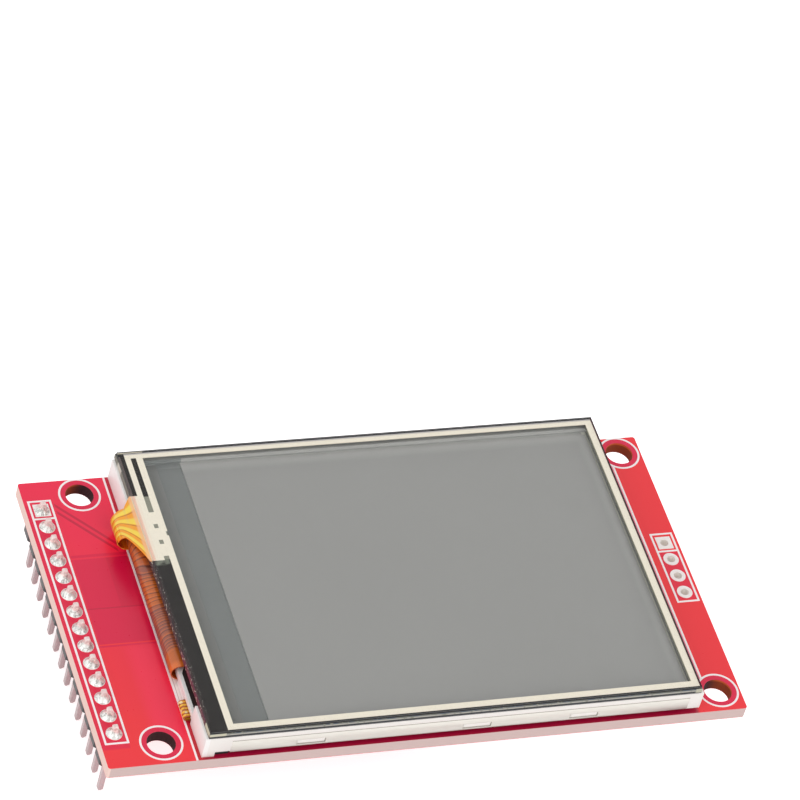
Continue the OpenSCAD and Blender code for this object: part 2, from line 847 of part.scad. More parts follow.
// The tail in plan above its fold: wide at the panel, narrow at the fold
module tail_plan() {
  polygon([[lead_left + cut, bond_front], [lead_left + cut, bond_back],
           [touch_left - 0.1, bond_back],
           [tail_fold_x - 0.75, tail_back],
           [tail_fold_x - tail_radius - cut, tail_back],
           [tail_fold_x - tail_radius - cut, tail_front],
           [tail_fold_x - 1.4, tail_front - 0.9], [touch_left - 0.1, bond_front]]);
}

module touch_tail() {
  low = print_clearance;
  color("gold") on_board() union() {
    intersection() {
      across(bond_front, bond_back) {
        fold_profile(tail_fold_x, low, tail_radius, tail_thickness);
        translate([tail_fold_x, touch_glass_top])
          square([lead_left - tail_fold_x, tail_thickness]);
      }
      translate([0, 0, low + tail_radius]) linear_extrude(tail_radius + cut) tail_plan();
    }
    intersection() {
      across(tail_front, tail_back) {
        fold_profile(tail_fold_x, low, tail_radius, tail_thickness);
        translate([tail_fold_x, low]) square([3.2, tail_thickness]);
      }
      block([tail_fold_x - tail_radius - cut, bond_front, 0],
            [tail_fold_x + 3.2, bond_back, low + tail_radius]);
    }
  }
}

// --- Underside ---------------------------------------------------------------------

module card_socket_base() {
  rail = (socket_width - slot_width) / 2;
  color("dimgray") under_board() difference() {
    block([socket_left, socket_front + tray_sheet, 0],
          [socket_right, socket_back - tray_sheet, socket_height - tray_sheet]);
    block([socket_right - slot_depth, socket_front + rail, slot_top],
          [socket_right + cut, socket_back - rail, socket_height]);
    // Grooves that hold the contacts
    for (i = [0 : contact_count - 1]) {
      y = board_middle + (i - (contact_count - 1) / 2) * contact_pitch;
      block([socket_left - cut, y - 0.4, 0], [socket_right - slot_depth + 8, y + 0.4, 0.35]);
    }
  }
}

module card_socket_contacts() {
  strip = 0.2;
  root = socket_right - slot_depth;
  color("gold") under_board() for (i = [0 : contact_count - 1]) {
    y = board_middle + (i - (contact_count - 1) / 2) * contact_pitch;
    block([socket_left - 1.3, y - 0.4, 0], [root + 8, y + 0.4, strip]);
  }
}

module card_socket_shell() {
  mouth = 1.2;
  color("silver") under_board() difference() {
    union() {
      block([socket_left, socket_front, socket_height - tray_sheet],
            [socket_right, socket_back, socket_height]);
      for (y = [socket_front, socket_back - tray_sheet])
        block([socket_left, y, 0.1], [socket_right, y + tray_sheet, socket_height]);
      // Solder tabs beside the corners
      for (x = [socket_left + 1.5, socket_right - 4.5], side = [-1, 1]) {
        y = side < 0 ? socket_front - 1.2 : socket_back;
        block([x, y, 0], [x + 3, y + 1.2, tray_sheet]);
        block([x, side < 0 ? socket_front : socket_back - tray_sheet, 0],
              [x + 3, side < 0 ? socket_front + tray_sheet : socket_back, 0.3]);
      }
    }
    // Windows in the cover and a relief for the finger at its mouth
    for (y = [0.27, 0.73])
      block([socket_left + 7, socket_front + y * socket_width - 2.2, socket_height - 2 * tray_sheet],
            [socket_left + 12, socket_front + y * socket_width + 2.2, socket_height + cut]);
    translate([socket_right + 6, board_middle, socket_height - 2 * tray_sheet])
      cylinder(r = 6 + mouth, h = tray_sheet * 3);
  }
}

module touch_controller() {
  color("black") under_board() translate([controller_inset, board_middle, 0])
    rotate([0, 0, 90]) leaded_part([controller_length, controller_width, 0.9],
                                   [0.25, 1], controller_pitch, 8, 8);
}

module voltage_regulator() {
  color("black") under_board() translate([controller_inset, board_middle + power_offset, 0])
    rotate([0, 0, 90]) leaded_part([2.9, 1.6, 1.05], [0.4, 0.55], 0.95, 3, 2);
}

module backlight_transistor() {
  color("black") under_board() translate([controller_inset, board_middle - power_offset, 0])
    rotate([0, 0, 90]) leaded_part([2.9, 1.4, 1.0], [0.4, 0.5], 1.9, 2, 1);
}

module capacitors() {
  height = 0.8;
  color("tan") under_board() {
    for (x = [controller_inset - 6, capacitor_column])
      translate([x, board_middle + power_offset, 0]) rotate([0, 0, 90])
        chip_part(chip_length, chip_width, height);
    for (y = [-1, 0, 1]) translate([capacitor_column, board_middle + y * 2 * chip_pitch, 0])
      chip_part(chip_length, chip_width, height);
  }
}

module resistors() {
  height = 0.45;
  rows = [[1, 4], [-1, 3]];
  color("darkslategray") under_board()
    for (row = rows, i = [0 : row[1]])
      translate([first_resistor + chip_pitch * i, board_middle + row[0] * (power_offset + 2), 0])
        rotate([0, 0, 90]) chip_part(chip_length, chip_width, height);
}

// --- The pieces --------------------------------------------------------------------

circuit_board();
legend_print();
header_pads();
side_pads();
header_body();
for (i = [1 : pin_count])
  header_pin(i);
header_solder();
mounting_tape();
metal_tray();
plastic_frame();
reflector_sheet();
light_guide();
backlight_flex();
for (i = [1 : led_count])
  backlight_led(i);
lower_diffuser();
prism_sheet();
upper_diffuser();
rim_tape();
rear_polariser();
rear_glass();
front_glass();
front_polariser();
driver_chip();
ledge_tape();
display_flex();
flex_solder();
touch_adhesive();
touch_glass();
touch_spacer();
touch_conductors();
touch_film();
touch_tail();
card_socket_base();
card_socket_shell();
card_socket_contacts();
touch_controller();
voltage_regulator();
backlight_transistor();
capacitors();
resistors();
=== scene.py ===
"""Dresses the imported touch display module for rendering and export.

The file is laid out like an add-on. Each operator makes or finishes one group of
pieces, and main() runs them in order. Sizes in the properties are in metres; places
in the finishes are in millimetres from the board's front corner at the header end.
"""
import math
import random

import bpy
from mathutils import Matrix, Vector


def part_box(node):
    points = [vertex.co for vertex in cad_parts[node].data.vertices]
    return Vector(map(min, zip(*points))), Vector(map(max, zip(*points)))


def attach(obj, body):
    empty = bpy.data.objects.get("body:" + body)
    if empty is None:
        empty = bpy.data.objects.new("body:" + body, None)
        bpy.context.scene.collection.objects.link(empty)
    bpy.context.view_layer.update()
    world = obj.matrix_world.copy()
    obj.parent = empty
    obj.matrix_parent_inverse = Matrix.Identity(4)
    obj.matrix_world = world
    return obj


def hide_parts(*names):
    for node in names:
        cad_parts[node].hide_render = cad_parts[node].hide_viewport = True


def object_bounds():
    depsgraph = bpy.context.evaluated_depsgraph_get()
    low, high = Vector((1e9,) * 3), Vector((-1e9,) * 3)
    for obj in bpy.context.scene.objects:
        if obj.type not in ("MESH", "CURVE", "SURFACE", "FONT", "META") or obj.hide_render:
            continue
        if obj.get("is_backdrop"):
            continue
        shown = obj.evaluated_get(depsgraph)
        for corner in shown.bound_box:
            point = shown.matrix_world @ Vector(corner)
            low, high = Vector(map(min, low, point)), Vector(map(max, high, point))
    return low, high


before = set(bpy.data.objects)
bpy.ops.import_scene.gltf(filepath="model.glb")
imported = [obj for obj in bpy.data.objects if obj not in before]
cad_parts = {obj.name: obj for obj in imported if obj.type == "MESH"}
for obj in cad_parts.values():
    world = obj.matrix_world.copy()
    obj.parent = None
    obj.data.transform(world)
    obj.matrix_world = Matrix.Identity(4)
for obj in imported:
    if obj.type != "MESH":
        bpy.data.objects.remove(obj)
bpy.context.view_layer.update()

bl_info = {
    "name": "Touch display module",
    "version": (1, 0, 0),
    "blender": (4, 5, 0),
    "location": "3D View > Sidebar > Display",
    "description": "Finishes a small touch display on its circuit board",
    "category": "Object",
}

BODY = "root"
BOARD_LOW, BOARD_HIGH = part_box("circuit_board")
CORNER = Vector((BOARD_LOW.x, BOARD_LOW.y, BOARD_HIGH.z))
PIN_COUNT = sum(name.startswith("header_pin_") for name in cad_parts)
LED_COUNT = sum(name.startswith("backlight_led_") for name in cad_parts)
MM = 0.001
# Centres of the board's screw holes, in millimetres from its corner
HOLES = [(x, y) for x in (6.8, 73.5) for y in (2.9, 39.7)]
# Points closer than this, and faces that turn less than this, count as one
WELD = 2e-6
FLAT = math.radians(0.6)


# --- Colours ---


def tone(red, green, blue):
    """A display colour, 0 to 255, as the linear colour that Blender shades with."""
    values = []
    for part in (red, green, blue):
        part /= 255
        values.append(part / 12.92 if part <= 0.04045 else ((part + 0.055) / 1.055) ** 2.4)
    return tuple(values)


def shades(colour, factor):
    """A lighter or darker tone of a colour."""
    return tuple(min(1.0, part * factor) for part in colour)


# Greys painted under the touch glass: beside the screen, along the back, at the far end. They are
# painted shade on the white frame and painted light on the black tape and the glasses, and the back
# and far greys are paler to make up for the shade of the glass's rim
NEAR_GREY = tone(141, 142, 139)
BACK_GREY = tone(214, 214, 210)
FAR_GREY = tone(200, 198, 176)
# Thin dark lines where the display stands on the board
SEAM = tone(140, 96, 104)


def colour_property(name, description, value):
    """A colour that the user may change."""
    return bpy.props.FloatVectorProperty(
        name=name, description=description, default=tone(*value),
        subtype="COLOR", size=3, min=0, max=1)


def length_property(name, description, millimetres):
    """A length that the user may change."""
    return bpy.props.FloatProperty(
        name=name, description=description, default=millimetres * MM,
        min=0, unit="LENGTH", precision=5)


class TFT_PG_sizes(bpy.types.PropertyGroup):
    """Sizes of edges and small features."""

    plastic_edge: length_property("Plastic edge", "Rounding of moulded edges", 0.12)
    metal_edge: length_property("Sheet edge", "Rounding of sheet metal edges", 0.05)
    glass_edge: length_property("Glass edge", "Chamfer of cut glass", 0.06)
    film_edge: length_property("Film edge", "Rounding of the touch film's rim", 0.04)
    pin_edge: length_property("Pin edge", "Rounding along a square pin", 0.06)
    pin_point: length_property("Pin point", "Length of a pin's tapered end", 0.45)
    solder_neck: length_property("Solder neck", "Radius of the solder at its top", 0.42)
    chip_cap: length_property("Chip end", "Length of a chip part's plated end", 0.32)
    strand_step: length_property("Trace pitch", "Distance between the display circuit's traces",
                                 0.62)


class TFT_PG_colours(bpy.types.PropertyGroup):
    """Colours of the materials."""

    mask: colour_property("Board", "Red solder mask over bare laminate", (246, 44, 54))
    mask_copper: colour_property("Board over copper", "Red mask over copper", (226, 12, 68))
    laminate: colour_property("Board edge", "Cut edge of the laminate", (220, 194, 190))
    ink: colour_property("Legend", "Printed lines", (255, 252, 252))
    plastic: colour_property("Display frame", "Moulded frame", (248, 243, 238))
    screen: colour_property("Screen", "Polariser with the display off", (165, 165, 162))
    ledge: colour_property("Screen ledge", "Strip beside the screen", (130, 134, 132))
    border: colour_property("Touch border", "Adhesive under the touch film", (54, 52, 51))
    conductor: colour_property("Conductor", "Lines round the touch panel", (252, 243, 224))
    glass_rim: colour_property("Glass edge", "Cut edge of the touch glass", (98, 99, 92))
    amber: colour_property("Circuit film", "Film of the folded circuits", (206, 104, 40))
    copper_glow: colour_property("Circuit traces", "Traces under the film", (255, 214, 72))
    mauve: colour_property("Display circuit", "Denser part of its traces", (138, 82, 76))


# --- Modelling ---


def deselect():
    """Leaves edit mode with nothing selected."""
    if bpy.context.object and bpy.context.object.mode != "OBJECT":
        finish_edit()
    bpy.ops.object.select_all(action="DESELECT")


def activate(piece):
    """Makes a piece the only selected object."""
    deselect()
    piece.select_set(True)
    bpy.context.view_layer.objects.active = piece
    return piece


def start_edit(piece):
    """Opens a piece in edit mode."""
    activate(piece)
    bpy.ops.object.mode_set(mode="EDIT")


def finish_edit():
    """Closes edit mode."""
    bpy.ops.object.mode_set(mode="OBJECT")


def pick_faces(piece, test):
    """Opens a piece in edit mode with the faces selected that pass the test."""
    start_edit(piece)
    bpy.ops.mesh.select_mode(type="FACE")
    bpy.ops.mesh.select_all(action="DESELECT")
    finish_edit()
    for face in piece.data.polygons:
        face.select = test(face.center, face.normal)
    bpy.ops.object.mode_set(mode="EDIT")


def settle(piece, name):
    """Puts a piece's place into its mesh and names it."""
    activate(piece)
    bpy.ops.object.transform_apply(location=True, rotation=True, scale=True)
    piece.name = piece.data.name = name
    return piece


def add_block(name, low, high):
    """A block between two corners."""
    low, high = Vector(low), Vector(high)
    deselect()
    bpy.ops.mesh.primitive_cube_add(size=1, location=(low + high) / 2)
    piece = bpy.context.object
    piece.scale = high - low
    return settle(piece, name)


def apply_bevel(piece, width, segments=2, angle=30):
    """Rounds the sharp edges of a piece."""
    activate(piece)
    bevel = piece.modifiers.new("edge", "BEVEL")
    bevel.width, bevel.segments = width, segments
    bevel.limit_method, bevel.angle_limit = "ANGLE", math.radians(angle)
    bpy.ops.object.modifier_apply(modifier=bevel.name)


def shade(piece, angle=40):
    """Smooth shading with creases at sharp edges."""
    activate(piece)
    bpy.ops.object.shade_smooth_by_angle(angle=math.radians(angle))
    return piece


def merged_copy(node, name):
    """A copy of a CAD node's mesh with its flat faces whole."""
    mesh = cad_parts[node].data.copy()
    mesh.name = name
    mesh.materials.clear()
    piece = bpy.data.objects.new(name, mesh)
    bpy.context.scene.collection.objects.link(piece)
    start_edit(piece)
    bpy.ops.mesh.select_all(action="SELECT")
    bpy.ops.mesh.remove_doubles(threshold=WELD)
    bpy.ops.mesh.dissolve_limited(angle_limit=FLAT)
    finish_edit()
    return piece


def join(pieces, name):
    """Several pieces as one mesh."""
    deselect()
    for piece in pieces:
        piece.select_set(True)
    bpy.context.view_layer.objects.active = pieces[0]
    if len(pieces) > 1:
        bpy.ops.object.join()
    return settle(bpy.context.object, name)


def copies(piece, offsets):
    """The piece and a copy of it, with its own mesh, at each further offset."""
    made = [piece]
    for offset in offsets:
        other = piece.copy()
        other.data = piece.data.copy()
        other.data.transform(Matrix.Translation(offset))
        bpy.context.scene.collection.objects.link(other)
        made.append(other)
    return made


def coat(piece, *materials):
    """Gives a piece its materials."""
    piece.data.materials.clear()
    for material in materials:
        piece.data.materials.append(material)


def coat_node(node, material):
    """Gives a CAD node its material."""
    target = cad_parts[node]
    if not target.material_slots:
        target.data.materials.append(material)
    for place in target.material_slots:
        place.material = material


def stand_for(piece, slot, *nodes):
    """Attaches a piece to the body and hides the nodes that it replaces. The slot is not used."""
    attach(piece, BODY)
    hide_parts(*nodes)


def remake(node, name, slot, *materials, edge=0.0, segments=2, crease=40):
    """A CAD node's own shape with rounded edges and a finish, in the node's place."""
    piece = merged_copy(node, name)
    if edge:
        apply_bevel(piece, edge, segments)
    shade(piece, crease)
    coat(piece, *materials)
    stand_for(piece, slot, node)
    return piece


def islands(node):
    """The low and high corner of each separate solid in a CAD node."""
    merged_copy(node, "solids")
    bpy.ops.mesh.separate(type="LOOSE")
    boxes = []
    for piece in bpy.context.selected_objects:
        boxes.append((Vector(piece.bound_box[0]), Vector(piece.bound_box[6])))
        bpy.data.objects.remove(piece)
    return sorted(boxes, key=lambda box: tuple(box[0]))


# --- Finishes ---


def empty_tree(owner):
    """The node tree of a material or a world, with nothing in it."""
    owner.use_nodes = True
    owner.node_tree.nodes.clear()
    return owner.node_tree


def fill(tree, socket, value):
    """Links a socket to another one, or gives it a value."""
    if isinstance(value, bpy.types.NodeSocket):
        tree.links.new(value, socket)
    elif socket.type == "RGBA":
        socket.default_value = tuple(value)[:3] + (1,)
    else:
        socket.default_value = value


def add_node(tree, kind, inputs, **settings):
    """A new shader node with its inputs filled, by name or by number."""
    node = tree.nodes.new("ShaderNode" + kind)
    for key, value in settings.items():
        setattr(node, key, value)
    for key, value in inputs.items():
        fill(tree, node.inputs[key], value)
    return node


class Finish:
    """One procedural material, built node by node.

    x, y and z are the place on the module in millimetres, from the board's front
    corner at the header end, on its top face. base is the colour laid so far.
    """

    def __init__(self, name, roughness=0.5, metallic=0.0):
        self.material = bpy.data.materials.new(name)
        self.tree = empty_tree(self.material)
        self.shader = self.add("BsdfPrincipled", {
            "Roughness": roughness, "Metallic": metallic})
        self.add("OutputMaterial", {0: self.shader.outputs[0]})
        spot = self.add("TexCoord", {}).outputs["Object"]
        self.place = self.add("VectorMath", {
            0: spot, 1: (1 / MM,) * 3, 2: -CORNER / MM}, operation="MULTIPLY_ADD").outputs[0]
        self.x, self.y, self.z = self.split(self.place)
        self.turned = self.split(self.add("NewGeometry", {}).outputs["Normal"])
        self.base = None

    def add(self, kind, inputs, **settings):
        return add_node(self.tree, kind, inputs, **settings)

    def set(self, name, value):
        fill(self.tree, self.shader.inputs[name], value)

    def split(self, vector):
        """A vector's three parts."""
        return self.add("SeparateXYZ", {0: vector}).outputs

    def math(self, operation, first, second=0.0, third=0.0, clamp=False):
        return self.add("Math", {0: first, 1: second, 2: third},
                        operation=operation, use_clamp=clamp).outputs[0]

    def line(self, value, factor, start):
        """The value times the factor, plus the start."""
        return self.math("MULTIPLY_ADD", value, factor, start)

    def inverse(self, mask):
        """0 where the mask is 1."""
        return self.math("SUBTRACT", 1.0, mask)

    def step(self, value, edge, blur=0.03):
        """0 below the edge and 1 above it."""
        return self.add("MapRange", {
            "Value": value, "From Min": edge - blur, "From Max": edge + blur},
            interpolation_type="SMOOTHSTEP").outputs["Result"]

    def below(self, value, edge, blur=0.03):
        """1 below the edge and 0 above it."""
        return self.inverse(self.step(value, edge, blur))

    def band(self, value, low, high, blur=0.03):
        """1 between two limits and 0 outside."""
        return self.both(self.step(value, low, blur), self.below(value, high, blur))

    def both(self, *masks):
        """The product of several masks."""
        result = masks[0]
        for mask in masks[1:]:
            result = self.math("MULTIPLY", result, mask)
        return result

    def area(self, left, front, right, back, blur=0.03):
        """1 inside a rectangle on the board."""
        return self.both(self.band(self.x, left, right, blur), self.band(self.y, front, back, blur))

    def reach(self, first, second, centre):
        """The distance in a plane from a point."""
        across = self.math("SUBTRACT", first, centre[0])
        along = self.math("SUBTRACT", second, centre[1])
        square = self.math("MULTIPLY", across, across)
        return self.math("SQRT", self.math("MULTIPLY_ADD", along, along, square))

    def mix(self, factor, first, second):
        return self.add("Mix", {0: factor, 6: first, 7: second},
                        data_type="RGBA").outputs[2]

    def paint(self, mask, colour, share=1.0):
        """Lays a colour over the base where the mask is 1, at a share of its strength."""
        if share < 1:
            mask = self.math("MULTIPLY", mask, share)
        self.base = self.mix(mask, self.base, colour)

    def mottle(self, cloud, colour, light, dark):
        """Starts the base with a colour that a noise makes lighter and darker."""
        self.base = self.mix(cloud, shades(colour, light), shades(colour, dark))

    def noise(self, scale, detail, stretch=(1, 1, 1)):
        """Soft noise, with scale as features to the millimetre."""
        place = self.add("Mapping", {"Vector": self.place, "Scale": stretch}).outputs[0]
        return self.add("TexNoise", {
            "Vector": place, "Scale": scale, "Detail": detail}).outputs[0]

    def range(self, value, low, high):
        """Spreads a 0 to 1 value between two limits."""
        return self.add("MapRange", {
            "Value": value, "To Min": low, "To Max": high}).outputs["Result"]

    def bump(self, height, depth, strength):
        """Raises the surface by depth millimetres where height is 1."""
        node = self.add("Bump", {
            "Strength": strength, "Distance": depth * MM, "Height": height})
        self.set("Normal", node.outputs[0])

    def facing_up(self):
        """1 on faces that look up."""
        return self.step(self.turned[2], 0.5, 0.1)

    def facing_side(self):
        """1 on upright faces."""
        return self.below(self.math("ABSOLUTE", self.turned[2]), 0.6, 0.15)

    def done(self):
        """The material, with the base as its colour."""
        self.set("Base Color", self.base)
        return self.material


def board_finish(colours):
    """Glossy red solder mask, redder over copper, with a pale cut edge."""
    made = Finish("board_laminate")
    x, y, z = made.x, made.y, made.z
    mask, copper, laminate = colours.mask, colours.mask_copper, colours.laminate
    # The mask turns pinker toward the back, but not at the far end
    pink = (mask[0] * 0.97, mask[1] * 0.45, mask[2] * 1.75)
    cloud = made.range(made.noise(0.12, 3), -0.25, 0.25)
    slope = made.line(y, 0.035, made.line(x, 0.05, -0.4))
    back = made.both(made.math("ADD", slope, cloud, clamp=True), made.below(x, 68, 1.0))
    made.base = made.mix(back, mask, pink)

    # Copper under the mask, from the header to beneath the display
    left, right = 3.45, 62
    zone = made.area(left, 17.05, right, 30.1, 0.05)
    made.paint(zone, copper)
    # Painted shadow of the folded touch tail on the copper, darker from x 7.4 between y 22.7 and
    # 30.1
    made.paint(made.area(7.4, 22.7, right, 30.1, 0.05), shades(copper, 0.92))
    made.paint(made.area(left, 30.35, right, 30.75, 0.05), copper)
    made.paint(made.area(left, 22.62, right, 22.8, 0.04), shades(copper, 0.8))
    made.paint(made.area(left, 17.3, right, 17.5, 0.04), mask)

    # What the display's frame throws on the top face, painted: a lighter patch beside the tail's
    # lower end as painted light against its shade, painted shadow along the front under the display
    # and along the frame's foot, and a painted highlight beside the panel's right edge; then a pale
    # foot with a seam under the low end wall
    upper = made.step(z, -0.8, 0.1)
    for edges, blur, colour, share in (
            ((6.5, 3, 10.4, 17), 1.0, tone(255, 46, 84), 0.7),
            ((11, -1, 70.2, 1.5), 0.3, tone(166, 8, 52), 1.0),
            ((10.3, -1, 12, 43), 0.15, tone(150, 4, 30), 0.6),
            ((71.45, 3.5, 71.95, 38.5), 0.1, tone(255, 150, 172), 1.0)):
        made.paint(made.both(upper, made.area(*edges, blur)), colour, share)
    sill = made.both(upper, made.area(10.15, 7.8, 11.2, 12.6))
    made.paint(sill, tone(255, 240, 236))
    made.paint(made.both(sill, made.band(x, 10.4, 10.46, 0.03)), SEAM, 0.6)

    # Copper round the side pads, along the header's end and round the screw holes
    low, high = ((corner - CORNER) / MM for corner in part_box("side_pads"))
    row = made.area(low.x - 0.4, low.y - 0.2, high.x + 0.3, high.y - 2.3, 0.3)
    made.paint(row, copper, 0.6)
    strip = made.both(made.below(x, 3.2, 0.1), made.band(y, 2.6, 38.6, 0.2))
    made.paint(strip, copper, 0.75)
    for centre in HOLES:
        made.paint(made.below(made.reach(x, y, centre), 2.3, 0.06), copper)

    # Two tracks from the header's back end, and rows of tracks on the underside
    run = made.line(x, 1.12, y)
    for shift in (0.0, 1.05):
        track = made.both(made.band(run, 41.1 + shift, 41.6 + shift, 0.08),
                          made.band(x, 3.5, 9.2 + shift / 2, 0.1))
        made.paint(track, shades(copper, 0.78))
    ripple = made.math("FRACT", made.math("MULTIPLY", y, 1 / 1.27))
    rows = made.both(made.below(z, -1.5, 0.05), made.band(ripple, 0.35, 0.62, 0.05),
                     made.band(x, 4.5, 27, 0.1),
                     made.step(made.noise(0.16, 1, (0.25, 3, 1)), 0.5, 0.04))
    made.paint(rows, shades(copper, 0.9))

    # The cut edge's weave, and the walls of the screw holes with painted light and shade:
    # orange-brown on the side that takes the light, brightest near the top, dark on the other side
    weave = made.line(made.math("SINE", made.math("MULTIPLY", z, 22)), 0.5, 0.5)
    cut_edge = made.mix(made.range(weave, 0.0, 0.25), laminate, shades(laminate, 0.85))
    cut_edge = made.mix(made.below(x, 0.3, 0.05), cut_edge, tone(250, 216, 206))
    side_on = made.line(made.step(y, 20, 0.1), -2.0, 1.0)
    side_on = made.math("MULTIPLY", side_on, made.turned[0])
    # Painted light on one side of each bore and over the whole back-right bore; painted shade
    # elsewhere
    lit_wall = made.both(made.inverse(made.area(0, 0, 9, 9)), made.below(side_on, -0.1, 0.6))
    lit_wall = made.math("MAXIMUM", lit_wall, made.area(68, 35, 78, 43))
    bore = made.mix(lit_wall, tone(52, 6, 14), tone(150, 62, 24))
    bore = made.mix(made.both(lit_wall, made.step(z, -0.3, 0.08)), bore, tone(214, 96, 44))
    side = made.both(made.band(z, -1.56, -0.04, 0.01), made.facing_side())
    made.paint(side, made.mix(made.area(0.3, 0.3, 75.9, 41.8, 0.02), cut_edge, bore))

    rough = made.range(made.noise(3, 3), 0.24, 0.36)
    made.set("Roughness", made.math("MAXIMUM", rough, made.math("MULTIPLY", side, 0.9)))
    relief = made.math("MULTIPLY", made.noise(1.4, 3), 0.25)
    made.bump(made.line(zone, 0.4, relief), 0.03, 0.5)
    return made.done()


def ink_finish(colours):
    """Printed lines, a little thin in places."""
    made = Finish("legend_ink", roughness=0.55)
    made.base = made.mix(made.range(made.noise(2.2, 3), 0.0, 0.06), colours.ink, colours.mask)
    made.bump(made.noise(6, 2), 0.01, 0.4)
    return made.done()


def pad_finish():
    """Tinned copper, duller inside the plated holes."""
    made = Finish("tinned_copper")
    patch = made.noise(2.4, 3)
    barrel = made.both(made.band(made.z, -1.62, 0.03, 0.02), made.facing_side())
    made.base = made.mix(patch, tone(255, 253, 250), tone(240, 228, 226))
    made.paint(barrel, tone(250, 244, 238))
    made.set("Metallic", made.line(barrel, -0.1, 0.1))
    made.set("Roughness", made.range(patch, 0.28, 0.5))
    made.bump(patch, 0.02, 0.6)
    return made.done()


def metal_finish(name, colour, roughness, brush=(1, 1, 1)):
    """Satin metal with faint brushing."""
    made = Finish(name, metallic=1.0)
    streak = made.noise(4, 3, brush)
    made.mottle(streak, colour, 1.06, 0.86)
    made.set("Roughness", made.range(streak, roughness * 0.8, roughness * 1.3))
    made.bump(streak, 0.006, 0.5)
    return made.done()


def plastic_finish(name, colour, roughness, grain, variation):
    """Moulded plastic with a fine grain and slightly uneven colour."""
    made = Finish(name)
    made.mottle(made.noise(0.5, 3), colour, 1 + variation, 1 - variation)
    made.set("Roughness", made.range(made.noise(5, 2), roughness * 0.85, roughness * 1.15))
    made.bump(made.noise(9, 3), grain, 0.5)
    return made.done()


def under_glass(made, near):
    """Painted greys for what lies under the touch glass: near, and paler along the back as painted
    light against the shade of the glass's rim.
    """
    back = made.mix(made.step(made.x, 18.8), tone(170, 174, 172), BACK_GREY)
    return made.mix(made.step(made.y, 40.8), near, back)


def frame_finish(colours):
    """White moulded plastic, with thin seams across the low end wall, painted whiter at the header
    end as painted light and painted grey under the touch glass as painted shade.
    """
    made = Finish("frame_plastic", roughness=0.45)
    made.mottle(made.noise(0.5, 3), colours.plastic, 1.02, 0.97)
    # Painted light: whiter at the header end, where the tail shades the end wall
    made.paint(made.below(made.x, 11.3, 0.02), tone(255, 252, 250))
    wall = made.both(made.below(made.x, 10.8, 0.02), made.band(made.y, 8.3, 12.9, 0.2),
                     made.facing_side())
    for height in (0.72, 1.02):
        made.paint(made.both(wall, made.band(made.z, height, height + 0.05, 0.02)), SEAM, 0.6)
    # Painted shade: grey where the frame lies under the touch glass, paler along the back and at
    # the far end
    seen = made.mix(made.step(made.x, 68.9, 0.05), under_glass(made, NEAR_GREY), FAR_GREY)
    made.paint(made.both(made.area(14, 1.2, 69.2, 41.3), made.step(made.z, 2.3, 0.05)), seen)
    made.bump(made.noise(9, 3), 0.01, 0.5)
    return made.done()


def tray_finish():
    """Satin sheet steel, darker below, with a painted shadow line where it folds in under the
    frame's lip.
    """
    made = Finish("tray_steel", metallic=0.7)
    streak = made.noise(4, 3, (0.2, 3, 3))
    made.base = made.mix(streak, tone(210, 207, 200), tone(193, 190, 183))
    upper = made.mix(streak, tone(228, 225, 217), tone(208, 205, 197))
    made.paint(made.step(made.z, 1.4, 0.9), upper)
    # Painted shadow line under the frame's overhanging lip
    made.paint(made.band(made.z, 2.27, 2.5, 0.02), tone(158, 152, 142))
    made.set("Roughness", made.range(streak, 0.34, 0.54))
    made.bump(streak, 0.006, 0.5)
    return made.done()


def solder_finish():
    """Bright solder with a grainy skin, with dark streaks and a few dull spots painted as
    reflections.
    """
    made = Finish("solder", metallic=0.45)
    grain = made.noise(2.8, 4)
    made.base = made.mix(grain, tone(255, 255, 252), tone(224, 232, 226))
    made.paint(made.step(made.z, 0.75, 0.2), tone(255, 238, 232))
    # Painted reflections: dark streaks and a few dull spots
    streak = made.band(made.noise(1.3, 2, (1, 1, 0.4)), 0.45, 0.5, 0.015)
    made.paint(streak, tone(120, 116, 112), 0.55)
    made.paint(made.step(made.noise(1.9, 1), 0.57, 0.03), tone(140, 136, 132), 0.35)
    made.set("Roughness", made.range(grain, 0.2, 0.45))
    made.bump(grain, 0.06, 0.6)
    return made.done()


def pin_finish():
    """Satin metal, painted an even shaded tone on the front faces as painted shade, and bright
    above the board with painted highlights.
    """
    made = Finish("pin_metal", metallic=0.35)
    streak = made.noise(4, 3, (3, 3, 0.3))
    made.base = made.mix(streak, tone(214, 196, 196), tone(184, 164, 166))
    # Painted shade: one even shaded tone on the faces that look to the front
    front = made.step(made.math("MULTIPLY", made.turned[1], -1.0), 0.6, 0.25)
    made.paint(front, tone(198, 172, 174))
    # Painted highlights on the tips above the board
    tip = made.mix(made.noise(2.5, 2), tone(255, 250, 244), tone(214, 170, 170))
    made.paint(made.step(made.z, 0.6, 0.1), tip)
    made.set("Roughness", made.range(streak, 0.32, 0.5))
    made.bump(streak, 0.01, 0.6)
    return made.done()


